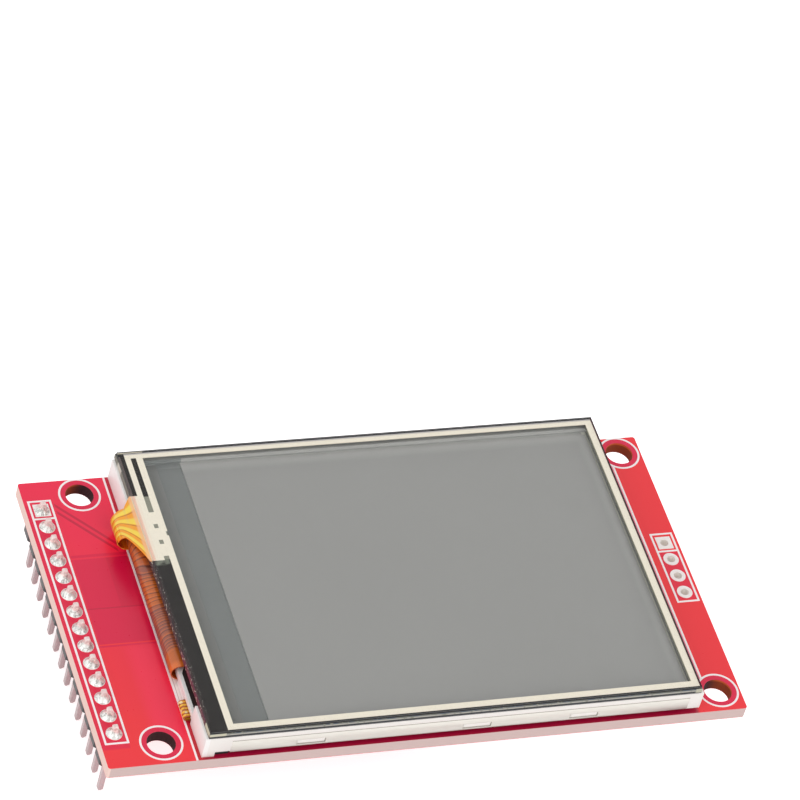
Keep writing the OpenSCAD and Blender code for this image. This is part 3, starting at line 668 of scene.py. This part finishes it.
def touch_glass_finish(colours):
    """Clear glass with a dark cut edge, with a painted highlight along its middle."""
    made = Finish("touch_glass")
    x, y, z = made.x, made.y, made.z
    side, up = made.facing_side(), made.facing_up()
    patch = made.noise(0.8, 3, (1, 1, 2))
    made.base = made.mix(made.step(patch, 0.5, 0.12), colours.glass_rim, tone(74, 82, 92))
    # Painted highlights on the cut edge: a pale line along its middle and pale flecks
    made.paint(made.band(z, 3.54, 3.74, 0.04), tone(176, 174, 164))
    made.paint(made.step(made.noise(2.2, 2), 0.62, 0.05), tone(132, 132, 120))
    made.paint(made.below(z, 3.5, 0.04), tone(36, 38, 42))
    # The header end's side, dark, with a painted violet reflection toward its front, pale specks,
    # and grey behind the tail
    left = made.below(x, 11.08)
    end = made.mix(patch, tone(84, 62, 66), tone(36, 32, 34))
    violet = made.mix(patch, tone(126, 58, 80), tone(70, 34, 48))
    end = made.mix(made.band(y, 2.2, 12.5, 0.3), end, violet)
    end = made.mix(made.step(made.noise(3.2, 2), 0.62), end, tone(196, 186, 168))
    end = made.mix(made.step(y, 35.5), end, tone(128, 126, 116))
    end = made.mix(made.band(y, 39.4, 40.8, 0.1), end, tone(206, 202, 190))
    made.paint(left, end)
    # Printed corners that show through the edge
    beige = tone(206, 202, 178)
    front, upper = made.below(y, 0.35), made.step(z, 3.3, 0.05)
    sill = made.both(made.band(x, 10.9, 12.95, 0.05), made.step(z, 3.5, 0.04))
    made.paint(made.both(left, made.band(y, 0.5, 2.1, 0.05), upper), beige)
    made.paint(made.both(front, sill), beige)
    made.paint(made.both(front, made.step(x, 68.95, 0.1), upper), tone(190, 187, 166))
    solid = made.math("MAXIMUM", side, made.inverse(made.area(11.12, 0.42, 69.63, 42.13, 0.005)))
    made.paint(made.inverse(solid), tone(120, 126, 124))
    made.set("Roughness", made.line(side, 0.5, 0.12))
    made.set("Alpha", made.math("MAXIMUM", solid, made.math("MULTIPLY", up, 0.015)))
    return made.done()


def touch_film_finish():
    """Clear satin film over the border, dark at its rim and pale beside the tail."""
    made = Finish("touch_film", roughness=0.35)
    side, up = made.facing_side(), made.facing_up()
    rim = made.mix(made.noise(1.2, 3), tone(38, 42, 48), tone(70, 72, 72))
    rim = made.mix(made.area(11, 25.7, 11.3, 35.5), rim, tone(226, 216, 196))
    made.base = made.mix(side, tone(110, 110, 110), rim)
    made.set("Alpha", made.math("MAXIMUM", side, made.math("MULTIPLY", up, 0.03)))
    return made.done()


def screen_finish(colours):
    """The switched-off screen: even grey, with painted light toward its edges and on its side
    faces, where the touch panel's border shades it.
    """
    made = Finish("polariser_film", roughness=0.35)
    colour = colours.screen
    # Painted light: lighter outside the middle, against the shade of the border above
    made.base = shades(colour, 1.45)
    middle = made.mix(made.noise(0.03, 2), shades(colour, 1.03), shades(colour, 0.97))
    made.paint(made.area(17, 1, 67.9, 39.9, 0.9), middle)
    # Painted light on the side faces, which lie in shade
    made.paint(made.facing_side(), shades(colour, 1.6))
    made.bump(made.noise(12, 2), 0.003, 0.3)
    return made.done()


def glass_finish(colours):
    """The display's own glasses, seen as a darker strip beside the polariser."""
    made = Finish("cell_glass", roughness=0.15)
    made.mottle(made.noise(0.08, 2), colours.ledge, 1.04, 0.96)
    # Painted light along the back and at the far end, where the touch glass's rim shades the
    # glasses
    back = made.mix(made.step(made.x, 18.6), tone(150, 154, 152), tone(200, 200, 196))
    made.paint(made.step(made.y, 40.2), back)
    far = made.mix(made.step(made.x, 68.9, 0.2), tone(236, 236, 226), FAR_GREY)
    made.paint(made.step(made.x, 68.3), far)
    made.paint(made.facing_side(), tone(120, 134, 128))
    return made.done()


def tape_finish():
    """Dull black tape, painted grey where the touch glass lies over it, as painted light."""
    made = Finish("black_tape", roughness=0.7)
    grain = made.noise(4, 3)
    made.base = made.mix(grain, tone(4, 4, 5), tone(9, 8, 9))
    # Painted light: greys where the tape shows under the glass, paler through the spacer's holes,
    # along the back and at the far end, with a darker grey at the back rim
    seen = made.mix(made.area(12, 25, 14.35, 36), NEAR_GREY, tone(216, 210, 202))
    seen = under_glass(made, seen)
    seen = made.mix(made.step(made.y, 41.35, 0.12), seen, tone(178, 178, 174))
    seen = made.mix(made.step(made.x, 68.9, 0.15), seen, FAR_GREY)
    made.paint(made.area(13.5, 1.0, 69.35, 42.0, 0.05), seen)
    made.set("Specular IOR Level", 0.1)
    made.bump(grain, 0.01, 0.4)
    return made.done()


def border_finish(colours):
    """Black adhesive with pale specks at its outer rim."""
    made = Finish("touch_border", roughness=0.6)
    made.mottle(made.noise(1.1, 4), colours.border, 1.25, 0.8)
    rim = made.both(made.below(made.x, 11.45, 0.25), made.band(made.y, 2.0, 25.6, 0.2))
    made.paint(rim, tone(96, 84, 84), 0.4)
    made.paint(made.both(rim, made.step(made.noise(4.5, 2), 0.65, 0.03)), tone(200, 196, 188), 0.75)
    made.paint(made.area(11, 35.6, 11.4, 41.5, 0.06), tone(118, 106, 104))
    made.paint(made.area(11.2, 41.95, 14.2, 42.3), tone(214, 206, 184))
    # Where the tail is bonded, and the smear of adhesive in front of it
    landing = made.math("MAXIMUM", made.area(11, 25.75, 13.25, 35.3, 0.05),
                        made.area(13, 26.8, 13.95, 35.3, 0.05))
    made.paint(landing, tone(148, 148, 134))
    smear = made.both(made.area(11.4, 25.0, 13.1, 25.8, 0.15),
                      made.step(made.noise(1.5, 2), 0.4, 0.2))
    made.paint(smear, tone(128, 132, 120))
    made.paint(made.step(made.x, 69.49), tone(92, 54, 62))
    made.set("Specular IOR Level", 0.1)
    return made.done()


def conductor_finish(colours):
    """Printed silver conductor, beige, with a painted glint along the back rim: greyer, then dark
    bluish at the very edge.
    """
    made = Finish("silver_ink", roughness=0.6)
    grain = made.noise(3, 4)
    made.mottle(grain, colours.conductor, 1.04, 0.92)
    # Painted glint on the back rim
    made.paint(made.step(made.y, 41.72, 0.05), tone(206, 200, 194))
    made.paint(made.step(made.y, 41.9), tone(96, 98, 108))
    made.bump(grain, 0.015, 0.5)
    return made.done()


def inside_fold(made, x, z, radius):
    """1 on the inner face of a circuit's half ring round an axis at x, z."""
    within = made.below(made.reach(made.x, made.z, (x, z)), radius - 0.06, 0.02)
    return made.both(within, made.below(made.x, x, 0.05))


def display_flex_finish(colours):
    """Amber film with dense dark traces that slant round the fold."""
    made = Finish("display_circuit", roughness=0.35)
    y, z = made.y, made.z
    amber, mauve = colours.amber, colours.mauve
    pitch = bpy.context.scene.tft_sizes.strand_step / MM
    made.base = made.mix(made.noise(0.5, 2, (0.4, 1, 0.4)), amber, shades(amber, 0.82))
    # Denser patches, as the middle and half the width of each
    sway = made.math("SINE", made.line(y, 0.3, 0.8))
    slope = made.math("MULTIPLY", sway, 0.5)
    run = made.line(z, slope, y)
    for middle, half in ((14.4, 1.2), (17.2, 1.4), (20.0, 1.2), (26.6, 0.8)):
        spread = made.math("ABSOLUTE", made.math("SUBTRACT", run, middle))
        made.paint(made.below(spread, half, 0.7), mauve, 0.75)
    # Fine and coarse traces, which wander a little
    wander = made.range(made.noise(0.28, 2, (0.3, 1, 0.3)), -1.4, 1.4)
    lane = made.math("DIVIDE", made.math("ADD", made.math("ADD", run, wander), 40), pitch)
    ripple = made.math("FRACT", lane)
    reach = made.band(y, 13.9, 34.4, 0.3)
    fine = made.both(made.band(made.math("FRACT", made.math("MULTIPLY", lane, 3)), 0.4, 0.6, 0.15),
                     made.step(made.noise(0.17, 1, (0.3, 1, 0.3)), 0.5, 0.05), reach)
    made.paint(fine, shades(mauve, 0.6), 0.35)
    trace = made.band(ripple, 0.36, 0.5, 0.1)
    made.paint(made.both(trace, reach), shades(mauve, 0.25), 0.85)
    # Painted highlight between the traces on the upper part of the fold
    glow = made.both(made.band(ripple, 0.6, 0.85, 0.12), reach, made.step(z, 1.6, 0.6))
    made.paint(glow, shades(amber, 1.4), 0.35)
    # The bare front end, and the inner face of the fold
    made.paint(made.below(y, 12.2, 0.4), shades(amber, 1.5), 0.5)
    made.paint(inside_fold(made, 11.1, 1.345, 1.145), tone(196, 78, 20))
    made.set("Coat Weight", 0.3)
    made.bump(trace, 0.03, 0.6)
    return made.done()


def touch_tail_finish(colours):
    """Amber film with four bright traces that fan out on to the touch panel."""
    made = Finish("touch_circuit", roughness=0.3)
    x, y = made.x, made.y
    bright = colours.copper_glow
    # Both edges of the fan bend smoothly; its four lanes share the width between them
    start = made.math("SMOOTH_MIN", 30.9, made.line(x, -2.39, 51.99), 1.6)
    end = made.math("SMOOTH_MAX", 33.9, made.line(x, 1.39, 20.21), 1.6)
    pitch = made.math("MULTIPLY", made.math("SUBTRACT", end, start), 0.245)
    lane = made.math("DIVIDE", made.math("SUBTRACT", y, start), pitch)
    ripple = made.math("FRACT", lane)
    trace = made.both(made.band(ripple, 0.24, 0.74, 0.1), made.band(lane, 0.02, 3.98))
    cloud = made.noise(1.3, 3)
    made.base = made.mix(cloud, tone(255, 174, 30), tone(240, 146, 18))
    made.paint(trace, made.mix(cloud, shades(bright, 1.12), shades(bright, 0.92)))
    # Painted shadow along one side of each trace
    edge = made.both(made.band(ripple, 0.12, 0.22, 0.05), made.band(lane, 0.1, 4.1, 0.1))
    made.paint(edge, tone(150, 66, 10), 0.6)
    # The bonded end, paler as it lies over the conductors
    made.paint(made.band(x, 10.66, 11.2, 0.14), tone(252, 190, 140), 0.8)
    made.paint(made.step(x, 11.08, 0.1), tone(250, 238, 218))
    made.paint(made.band(x, 11.2, 11.55, 0.08), tone(250, 206, 184))
    # Painted light and shade on the fold's inner face, which lies in shade: dark red to the left,
    # bright orange to the right
    curl = made.mix(made.step(x, 9.6, 0.35), tone(190, 36, 10), tone(255, 128, 20))
    made.paint(inside_fold(made, 10.6, 2.0, 1.95), curl)
    made.set("Coat Weight", 0.4)
    made.bump(trace, 0.05, 0.7)
    return made.done()


def backlight_flex_finish(colours):
    """Yellow film with ridges and a few pale spots."""
    made = Finish("backlight_circuit", roughness=0.3)
    ripple = made.math("FRACT", made.math("DIVIDE", made.math("SUBTRACT", made.y, 5.6), 0.48))
    ridge = made.band(ripple, 0.25, 0.75, 0.12)
    made.base = shades(colours.amber, 0.8)
    made.paint(ridge, made.mix(made.noise(2, 3), tone(255, 176, 40), colours.copper_glow))
    made.paint(made.step(made.noise(1.6, 1), 0.62, 0.04), tone(255, 236, 180))
    made.set("Coat Weight", 0.4)
    made.bump(ridge, 0.05, 0.6)
    return made.done()


# --- Operators ---


class PieceOperator:
    """What the operators share."""

    bl_options = {"REGISTER", "UNDO"}

    @property
    def sizes(self):
        return bpy.context.scene.tft_sizes

    @property
    def colours(self):
        return bpy.context.scene.tft_colours


class TFT_OT_board(PieceOperator, bpy.types.Operator):
    """Finish the circuit board with its printed lines and pads"""

    bl_idname = "tft.board"
    bl_label = "Circuit board"

    def execute(self, context):
        coat_node("circuit_board", board_finish(self.colours))
        coat_node("legend_print", ink_finish(self.colours))
        pads = pad_finish()
        coat_node("header_pads", pads)
        coat_node("side_pads", pads)
        return {"FINISHED"}


class TFT_OT_header(PieceOperator, bpy.types.Operator):
    """Model the pin header's moulding and its square pins"""

    bl_idname = "tft.header"
    bl_label = "Pin header"

    def execute(self, context):
        remake("header_body", "header_moulding", "header_plastic",
               plastic_finish("header_plastic", tone(34, 33, 35), 0.45, 0.02, 0.2),
               edge=self.sizes.plastic_edge * 0.6)
        names = [f"header_pin_{i}" for i in range(1, PIN_COUNT + 1)]
        low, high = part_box(names[0])
        point = self.sizes.pin_point
        pin = add_block("pin", (low.x, low.y, low.z + point), (high.x, high.y, high.z - point / 2))
        # The two ends: which way each looks, its length and the width left at its tip
        for side, height, share in ((-1, point, 0.42), (1, point / 2, 0.7)):
            pick_faces(pin, lambda centre, normal: normal.z * side > 0.9)
            bpy.ops.mesh.extrude_region_move(
                TRANSFORM_OT_translate={"value": (0, 0, side * height)})
            bpy.ops.transform.resize(value=(share, share, 1))
            finish_edit()
        apply_bevel(pin, self.sizes.pin_edge, angle=25)
        offsets = [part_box(name)[0] - low for name in names[1:]]
        row = shade(join(copies(pin, offsets), "header_pins"))
        coat(row, pin_finish())
        stand_for(row, "pin_metal", *names)
        return {"FINISHED"}


class TFT_OT_solder(PieceOperator, bpy.types.Operator):
    """Model the solder that climbs each header pin"""

    bl_idname = "tft.solder"
    bl_label = "Solder joints"

    RINGS = 6
    SIDES = 28
    LEAN = 0.05    # millimetres
    HOLLOW = 1.8    # 1 is a straight cone

    def execute(self, context):
        chance = random.Random(4)
        low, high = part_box("header_solder")
        foot = (high.x - low.x) / 2
        joints = []
        for index in range(1, PIN_COUNT + 1):
            pin_low, pin_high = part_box(f"header_pin_{index}")
            joints.append(self.joint((pin_low + pin_high) / 2, foot, high.z, chance))
        row = shade(join(joints, "header_joints"), 60)
        solder = solder_finish()
        coat(row, solder)
        stand_for(row, "solder", "header_solder")
        coat_node("flex_solder", solder)
        return {"FINISHED"}

    def joint(self, centre, foot, top, chance):
        """One concave cone, drawn up ring by ring from its foot, with a slight lean."""
        neck, base = self.sizes.solder_neck, CORNER.z + 0.05 * MM
        deselect()
        bpy.ops.mesh.primitive_circle_add(
            vertices=self.SIDES, radius=foot, fill_type="NGON", location=(centre.x, centre.y, base))
        piece = settle(bpy.context.object, "joint")
        pick_faces(piece, lambda middle, normal: True)
        lean = [chance.uniform(-self.LEAN, self.LEAN) * MM for _ in range(2)]
        rise = [part / self.RINGS for part in (*lean, top - base)]
        radius = foot
        for ring in range(1, self.RINGS + 1):
            wanted = neck + (foot - neck) * (1 - ring / self.RINGS) ** self.HOLLOW
            scale = wanted / radius
            bpy.ops.mesh.extrude_region_move(TRANSFORM_OT_translate={"value": rise})
            bpy.ops.transform.resize(value=(scale, scale, 1))
            radius = wanted
        finish_edit()
        pick_faces(piece, lambda middle, normal: True)
        bpy.ops.mesh.normals_make_consistent(inside=False)
        finish_edit()
        return piece


class TFT_OT_display_frame(PieceOperator, bpy.types.Operator):
    """Model the display's moulded frame, sheet tray and mounting tape"""

    bl_idname = "tft.display_frame"
    bl_label = "Display frame"

    def execute(self, context):
        remake("plastic_frame", "frame_moulding", "frame_plastic", frame_finish(self.colours),
               edge=self.sizes.plastic_edge / 2)
        remake("metal_tray", "tray_sheet", "tray_steel", tray_finish(), edge=self.sizes.metal_edge)
        coat_node("mounting_tape", plastic_finish("black_foam", tone(22, 21, 22), 0.8, 0.05, 0.2))
        return {"FINISHED"}


class TFT_OT_backlight(PieceOperator, bpy.types.Operator):
    """Finish the films, the light guide, the diodes and their circuit"""

    bl_idname = "tft.backlight"
    bl_label = "Backlight"

    def execute(self, context):
        remake("backlight_flex", "backlight_strip", "flex_film",
               backlight_flex_finish(self.colours))
        white = plastic_finish("white_film", tone(240, 240, 240), 0.6, 0.004, 0.02)
        for node in ("reflector_sheet", "lower_diffuser", "upper_diffuser"):
            coat_node(node, white)
        coat_node("prism_sheet", plastic_finish("clear_film", tone(214, 220, 224), 0.2, 0.02, 0.03))
        coat_node("light_guide",
                  plastic_finish("clear_acrylic", tone(214, 226, 226), 0.1, 0.003, 0.02))
        lamp = plastic_finish("led_plastic", tone(240, 236, 206), 0.4, 0.006, 0.05)
        for index in range(1, LED_COUNT + 1):
            coat_node(f"backlight_led_{index}", lamp)
        return {"FINISHED"}


class TFT_OT_screen(PieceOperator, bpy.types.Operator):
    """Finish the display's glasses, polarisers, tapes and driver chip"""

    bl_idname = "tft.screen"
    bl_label = "Screen"

    def execute(self, context):
        for finish, nodes in (
                (screen_finish(self.colours), ("front_polariser", "rear_polariser")),
                (glass_finish(self.colours), ("front_glass", "rear_glass")),
                (tape_finish(), ("ledge_tape", "rim_tape", "touch_adhesive")),
                (plastic_finish("silicon", tone(70, 72, 78), 0.2, 0.002, 0.1), ("driver_chip",))):
            for node in nodes:
                coat_node(node, finish)
        return {"FINISHED"}


class TFT_OT_touch_panel(PieceOperator, bpy.types.Operator):
    """Model the touch panel's glass and film over its printed border"""

    bl_idname = "tft.touch_panel"
    bl_label = "Touch panel"

    def execute(self, context):
        remake("touch_glass", "touch_glass_pane", "touch_glass", touch_glass_finish(self.colours),
               edge=self.sizes.glass_edge, segments=1, crease=20)
        remake("touch_film", "touch_film_sheet", "touch_film", touch_film_finish(),
               edge=self.sizes.film_edge)
        coat_node("touch_spacer", border_finish(self.colours))
        coat_node("touch_conductors", conductor_finish(self.colours))
        return {"FINISHED"}


class TFT_OT_folded_circuits(PieceOperator, bpy.types.Operator):
    """Model the two circuits that fold round the display's end"""

    bl_idname = "tft.folded_circuits"
    bl_label = "Folded circuits"

    def execute(self, context):
        remake("display_flex", "display_circuit", "flex_film",
               display_flex_finish(self.colours), crease=30)
        remake("touch_tail", "touch_circuit", "flex_film",
               touch_tail_finish(self.colours), crease=30)
        return {"FINISHED"}


class TFT_OT_card_socket(PieceOperator, bpy.types.Operator):
    """Model the card socket's shell, moulding and contacts"""

    bl_idname = "tft.card_socket"
    bl_label = "Card socket"

    def execute(self, context):
        remake("card_socket_shell", "socket_shell", "socket_steel",
               metal_finish("socket_steel", tone(206, 206, 208), 0.35, (0.3, 3, 3)),
               edge=self.sizes.metal_edge)
        remake("card_socket_base", "socket_moulding", "socket_plastic",
               plastic_finish("socket_plastic", tone(38, 38, 40), 0.5, 0.02, 0.15),
               edge=self.sizes.plastic_edge / 3, segments=1)
        coat_node("card_socket_contacts", metal_finish("gold_contact", tone(226, 188, 112), 0.3))
        return {"FINISHED"}


class TFT_OT_small_parts(PieceOperator, bpy.types.Operator):
    """Model the moulded parts and the chip parts under the board"""

    bl_idname = "tft.small_parts"
    bl_label = "Small parts"

    WAIST = 0.94
    CHIP_EDGE = 0.04 * MM

    def execute(self, context):
        epoxy = plastic_finish("chip_epoxy", tone(40, 40, 42), 0.6, 0.02, 0.15)
        lead = metal_finish("lead_metal", tone(214, 212, 208), 0.3)
        # Each moulded part with the width of its body in millimetres
        for node, name, width in (("touch_controller", "controller_chip", 4.4),
                                  ("voltage_regulator", "regulator_package", 1.6),
                                  ("backlight_transistor", "transistor_package", 1.4)):
            self.leaded(node, name, width * MM, epoxy, lead)
        caps = metal_finish("chip_ends", tone(214, 212, 208), 0.35)
        self.chips("capacitors", "chip_capacitors", "capacitor_ceramic",
                   plastic_finish("capacitor_ceramic", tone(196, 160, 120), 0.45, 0.01, 0.06), caps)
        self.chips("resistors", "chip_resistors", "resistor_ceramic",
                   plastic_finish("resistor_ceramic", tone(44, 44, 46), 0.35, 0.01, 0.1), caps)
        return {"FINISHED"}

    def leaded(self, node, name, width, epoxy, lead):
        """A moulded body with bent leads, each in its own material."""
        piece = remake(node, name, "chip_epoxy", epoxy, lead,
                       edge=self.sizes.metal_edge / 2, segments=1)
        low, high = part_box(node)
        middle = (low.x + high.x) / 2
        for face in piece.data.polygons:
            if abs(face.center.x - middle) > width / 2 + 0.01 * MM:
                face.material_index = 1

    def chips(self, node, name, slot, body, ends):
        """Chip parts with swollen plated ends."""
        made = []
        for low, high in islands(node):
            axis = 0 if high.x - low.x > high.y - low.y else 1
            cap = self.sizes.chip_cap
            start, stop = low[axis] + cap, high[axis] - cap
            chip = add_block("chip", low, high)
            start_edit(chip)
            for place in (start, stop):
                point = (low + high) / 2
                point[axis] = place
                bpy.ops.mesh.select_all(action="SELECT")
                bpy.ops.mesh.bisect(plane_co=point, plane_no=(1 - axis, axis, 0))
            finish_edit()
            coat(chip, body, ends)
            for face in chip.data.polygons:
                face.material_index = int(not start <= face.center[axis] <= stop)
            pick_faces(chip, lambda centre, normal: start < centre[axis] < stop)
            waist = [self.WAIST] * 3
            waist[axis] = 1
            bpy.ops.transform.resize(value=waist)
            finish_edit()
            apply_bevel(chip, self.CHIP_EDGE)
            made.append(chip)
        stand_for(shade(join(made, name)), slot, node)


class TFT_OT_stage(PieceOperator, bpy.types.Operator):
    """Make the floor, the lamps and the camera"""

    bl_idname = "tft.stage"
    bl_label = "Stage"

    # The camera, in millimetres and degrees
    AIM = (8.96, 29.33, 1.6)
    DISTANCE = 643.41
    AZIMUTH = -28.750
    ELEVATION = 44.639
    ROLL = 16.921
    LENS = 245.3
    SENSOR = 36
    # The floor, in metres, with its paint and the light that it seems to give off
    FLOOR_SIZE = 6
    FLOOR_GAP = 0.0002
    FLOOR_PAINT = 0.85
    FLOOR_GLOW = 0.7
    # How bright the surroundings are as a light, where 1 is how they are seen
    WORLD_LIGHT = 0.72
    LAMP_SIZE = 1.2

    def execute(self, context):
        scene = context.scene
        self.make_floor()
        self.make_world(scene)
        self.make_lamp(scene, "key_lamp", (-1.12, -0.52, 0.84), 4.9)
        self.make_lamp(scene, "fill_lamp", (0.45, -1.2, 0.78), 4.4)
        self.make_camera(scene)
        scene.view_settings.view_transform = "Standard"
        return {"FINISHED"}

    def by_ray(self, tree, lighting, seen):
        """One strength on rays that carry light, another where the camera looks."""
        rays = add_node(tree, "LightPath", {}).outputs
        looked_at = add_node(tree, "Math", {
            0: rays["Is Camera Ray"], 1: rays["Is Glossy Ray"]}, operation="MAXIMUM")
        return add_node(tree, "MapRange", {
            "Value": looked_at.outputs[0], "To Min": lighting, "To Max": seen}).outputs["Result"]

    def make_floor(self):
        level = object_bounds()[0].z - self.FLOOR_GAP
        deselect()
        bpy.ops.mesh.primitive_plane_add(size=self.FLOOR_SIZE, location=(0, 0, level))
        floor = settle(bpy.context.object, "studio_floor")
        material = bpy.data.materials.new("studio_floor")
        tree = empty_tree(material)
        paint = add_node(tree, "BsdfDiffuse", {"Color": (self.FLOOR_PAINT,) * 3})
        strength = self.by_ray(tree, 0.0, self.FLOOR_GLOW)
        glow = add_node(tree, "Emission", {"Strength": strength})
        total = add_node(tree, "AddShader", {0: paint.outputs[0], 1: glow.outputs[0]})
        add_node(tree, "OutputMaterial", {0: total.outputs[0]})
        coat(floor, material)
        floor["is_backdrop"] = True

    def make_world(self, scene):
        scene.world = bpy.data.worlds.new("studio")
        tree = empty_tree(scene.world)
        strength = self.by_ray(tree, self.WORLD_LIGHT, 1.0)
        light = add_node(tree, "Background", {"Color": (1, 1, 1), "Strength": strength})
        add_node(tree, "OutputWorld", {0: light.outputs[0]})

    def make_lamp(self, scene, name, place, power):
        data = bpy.data.lights.new(name, "AREA")
        data.size, data.energy = self.LAMP_SIZE, power
        lamp = bpy.data.objects.new(name, data)
        lamp.location = place
        lamp.rotation_mode = "QUATERNION"
        lamp.rotation_quaternion = Vector(place).to_track_quat("Z", "Y")
        scene.collection.objects.link(lamp)

    def make_camera(self, scene):
        azimuth, elevation = math.radians(self.AZIMUTH), math.radians(self.ELEVATION)
        back = Vector((math.sin(azimuth) * math.cos(elevation),
                       -math.cos(azimuth) * math.cos(elevation), math.sin(elevation)))
        data = bpy.data.cameras.new("camera")
        data.lens, data.sensor_width = self.LENS, self.SENSOR
        data.clip_start, data.clip_end = 0.05, 10
        camera = bpy.data.objects.new("camera", data)
        camera.location = Vector(self.AIM) * MM + back * self.DISTANCE * MM
        camera.rotation_mode = "QUATERNION"
        roll = Matrix.Rotation(math.radians(self.ROLL), 3, "Z").to_quaternion()
        camera.rotation_quaternion = (-back).to_track_quat("-Z", "Y") @ roll
        scene.collection.objects.link(camera)
        scene.camera = camera


class TFT_PT_panel(bpy.types.Panel):
    """The module's sizes, colours and operators"""

    bl_label = "Touch display"
    bl_idname = "TFT_PT_panel"
    bl_space_type = "VIEW_3D"
    bl_region_type = "UI"
    bl_category = "Display"

    def draw(self, context):
        layout = self.layout
        for group in (context.scene.tft_sizes, context.scene.tft_colours):
            box = layout.box()
            for name in group.__annotations__:
                box.prop(group, name)
        for operator in OPERATORS:
            layout.operator(operator.bl_idname)


OPERATORS = (
    TFT_OT_board, TFT_OT_header, TFT_OT_solder, TFT_OT_display_frame,
    TFT_OT_backlight, TFT_OT_screen, TFT_OT_touch_panel, TFT_OT_folded_circuits,
    TFT_OT_card_socket, TFT_OT_small_parts, TFT_OT_stage)
CLASSES = (TFT_PG_sizes, TFT_PG_colours) + OPERATORS + (TFT_PT_panel,)


def register():
    """Registers the classes and the scene's properties."""
    for item in CLASSES:
        bpy.utils.register_class(item)
    bpy.types.Scene.tft_sizes = bpy.props.PointerProperty(type=TFT_PG_sizes)
    bpy.types.Scene.tft_colours = bpy.props.PointerProperty(type=TFT_PG_colours)


def unregister():
    """Takes the properties and the classes out again."""
    del bpy.types.Scene.tft_colours
    del bpy.types.Scene.tft_sizes
    for item in reversed(CLASSES):
        bpy.utils.unregister_class(item)


def main():
    """Makes the module and the stage."""
    register()
    for operator in OPERATORS:
        getattr(bpy.ops.tft, operator.bl_idname.removeprefix("tft."))()
    deselect()


if __name__ == "__main__":
    main()
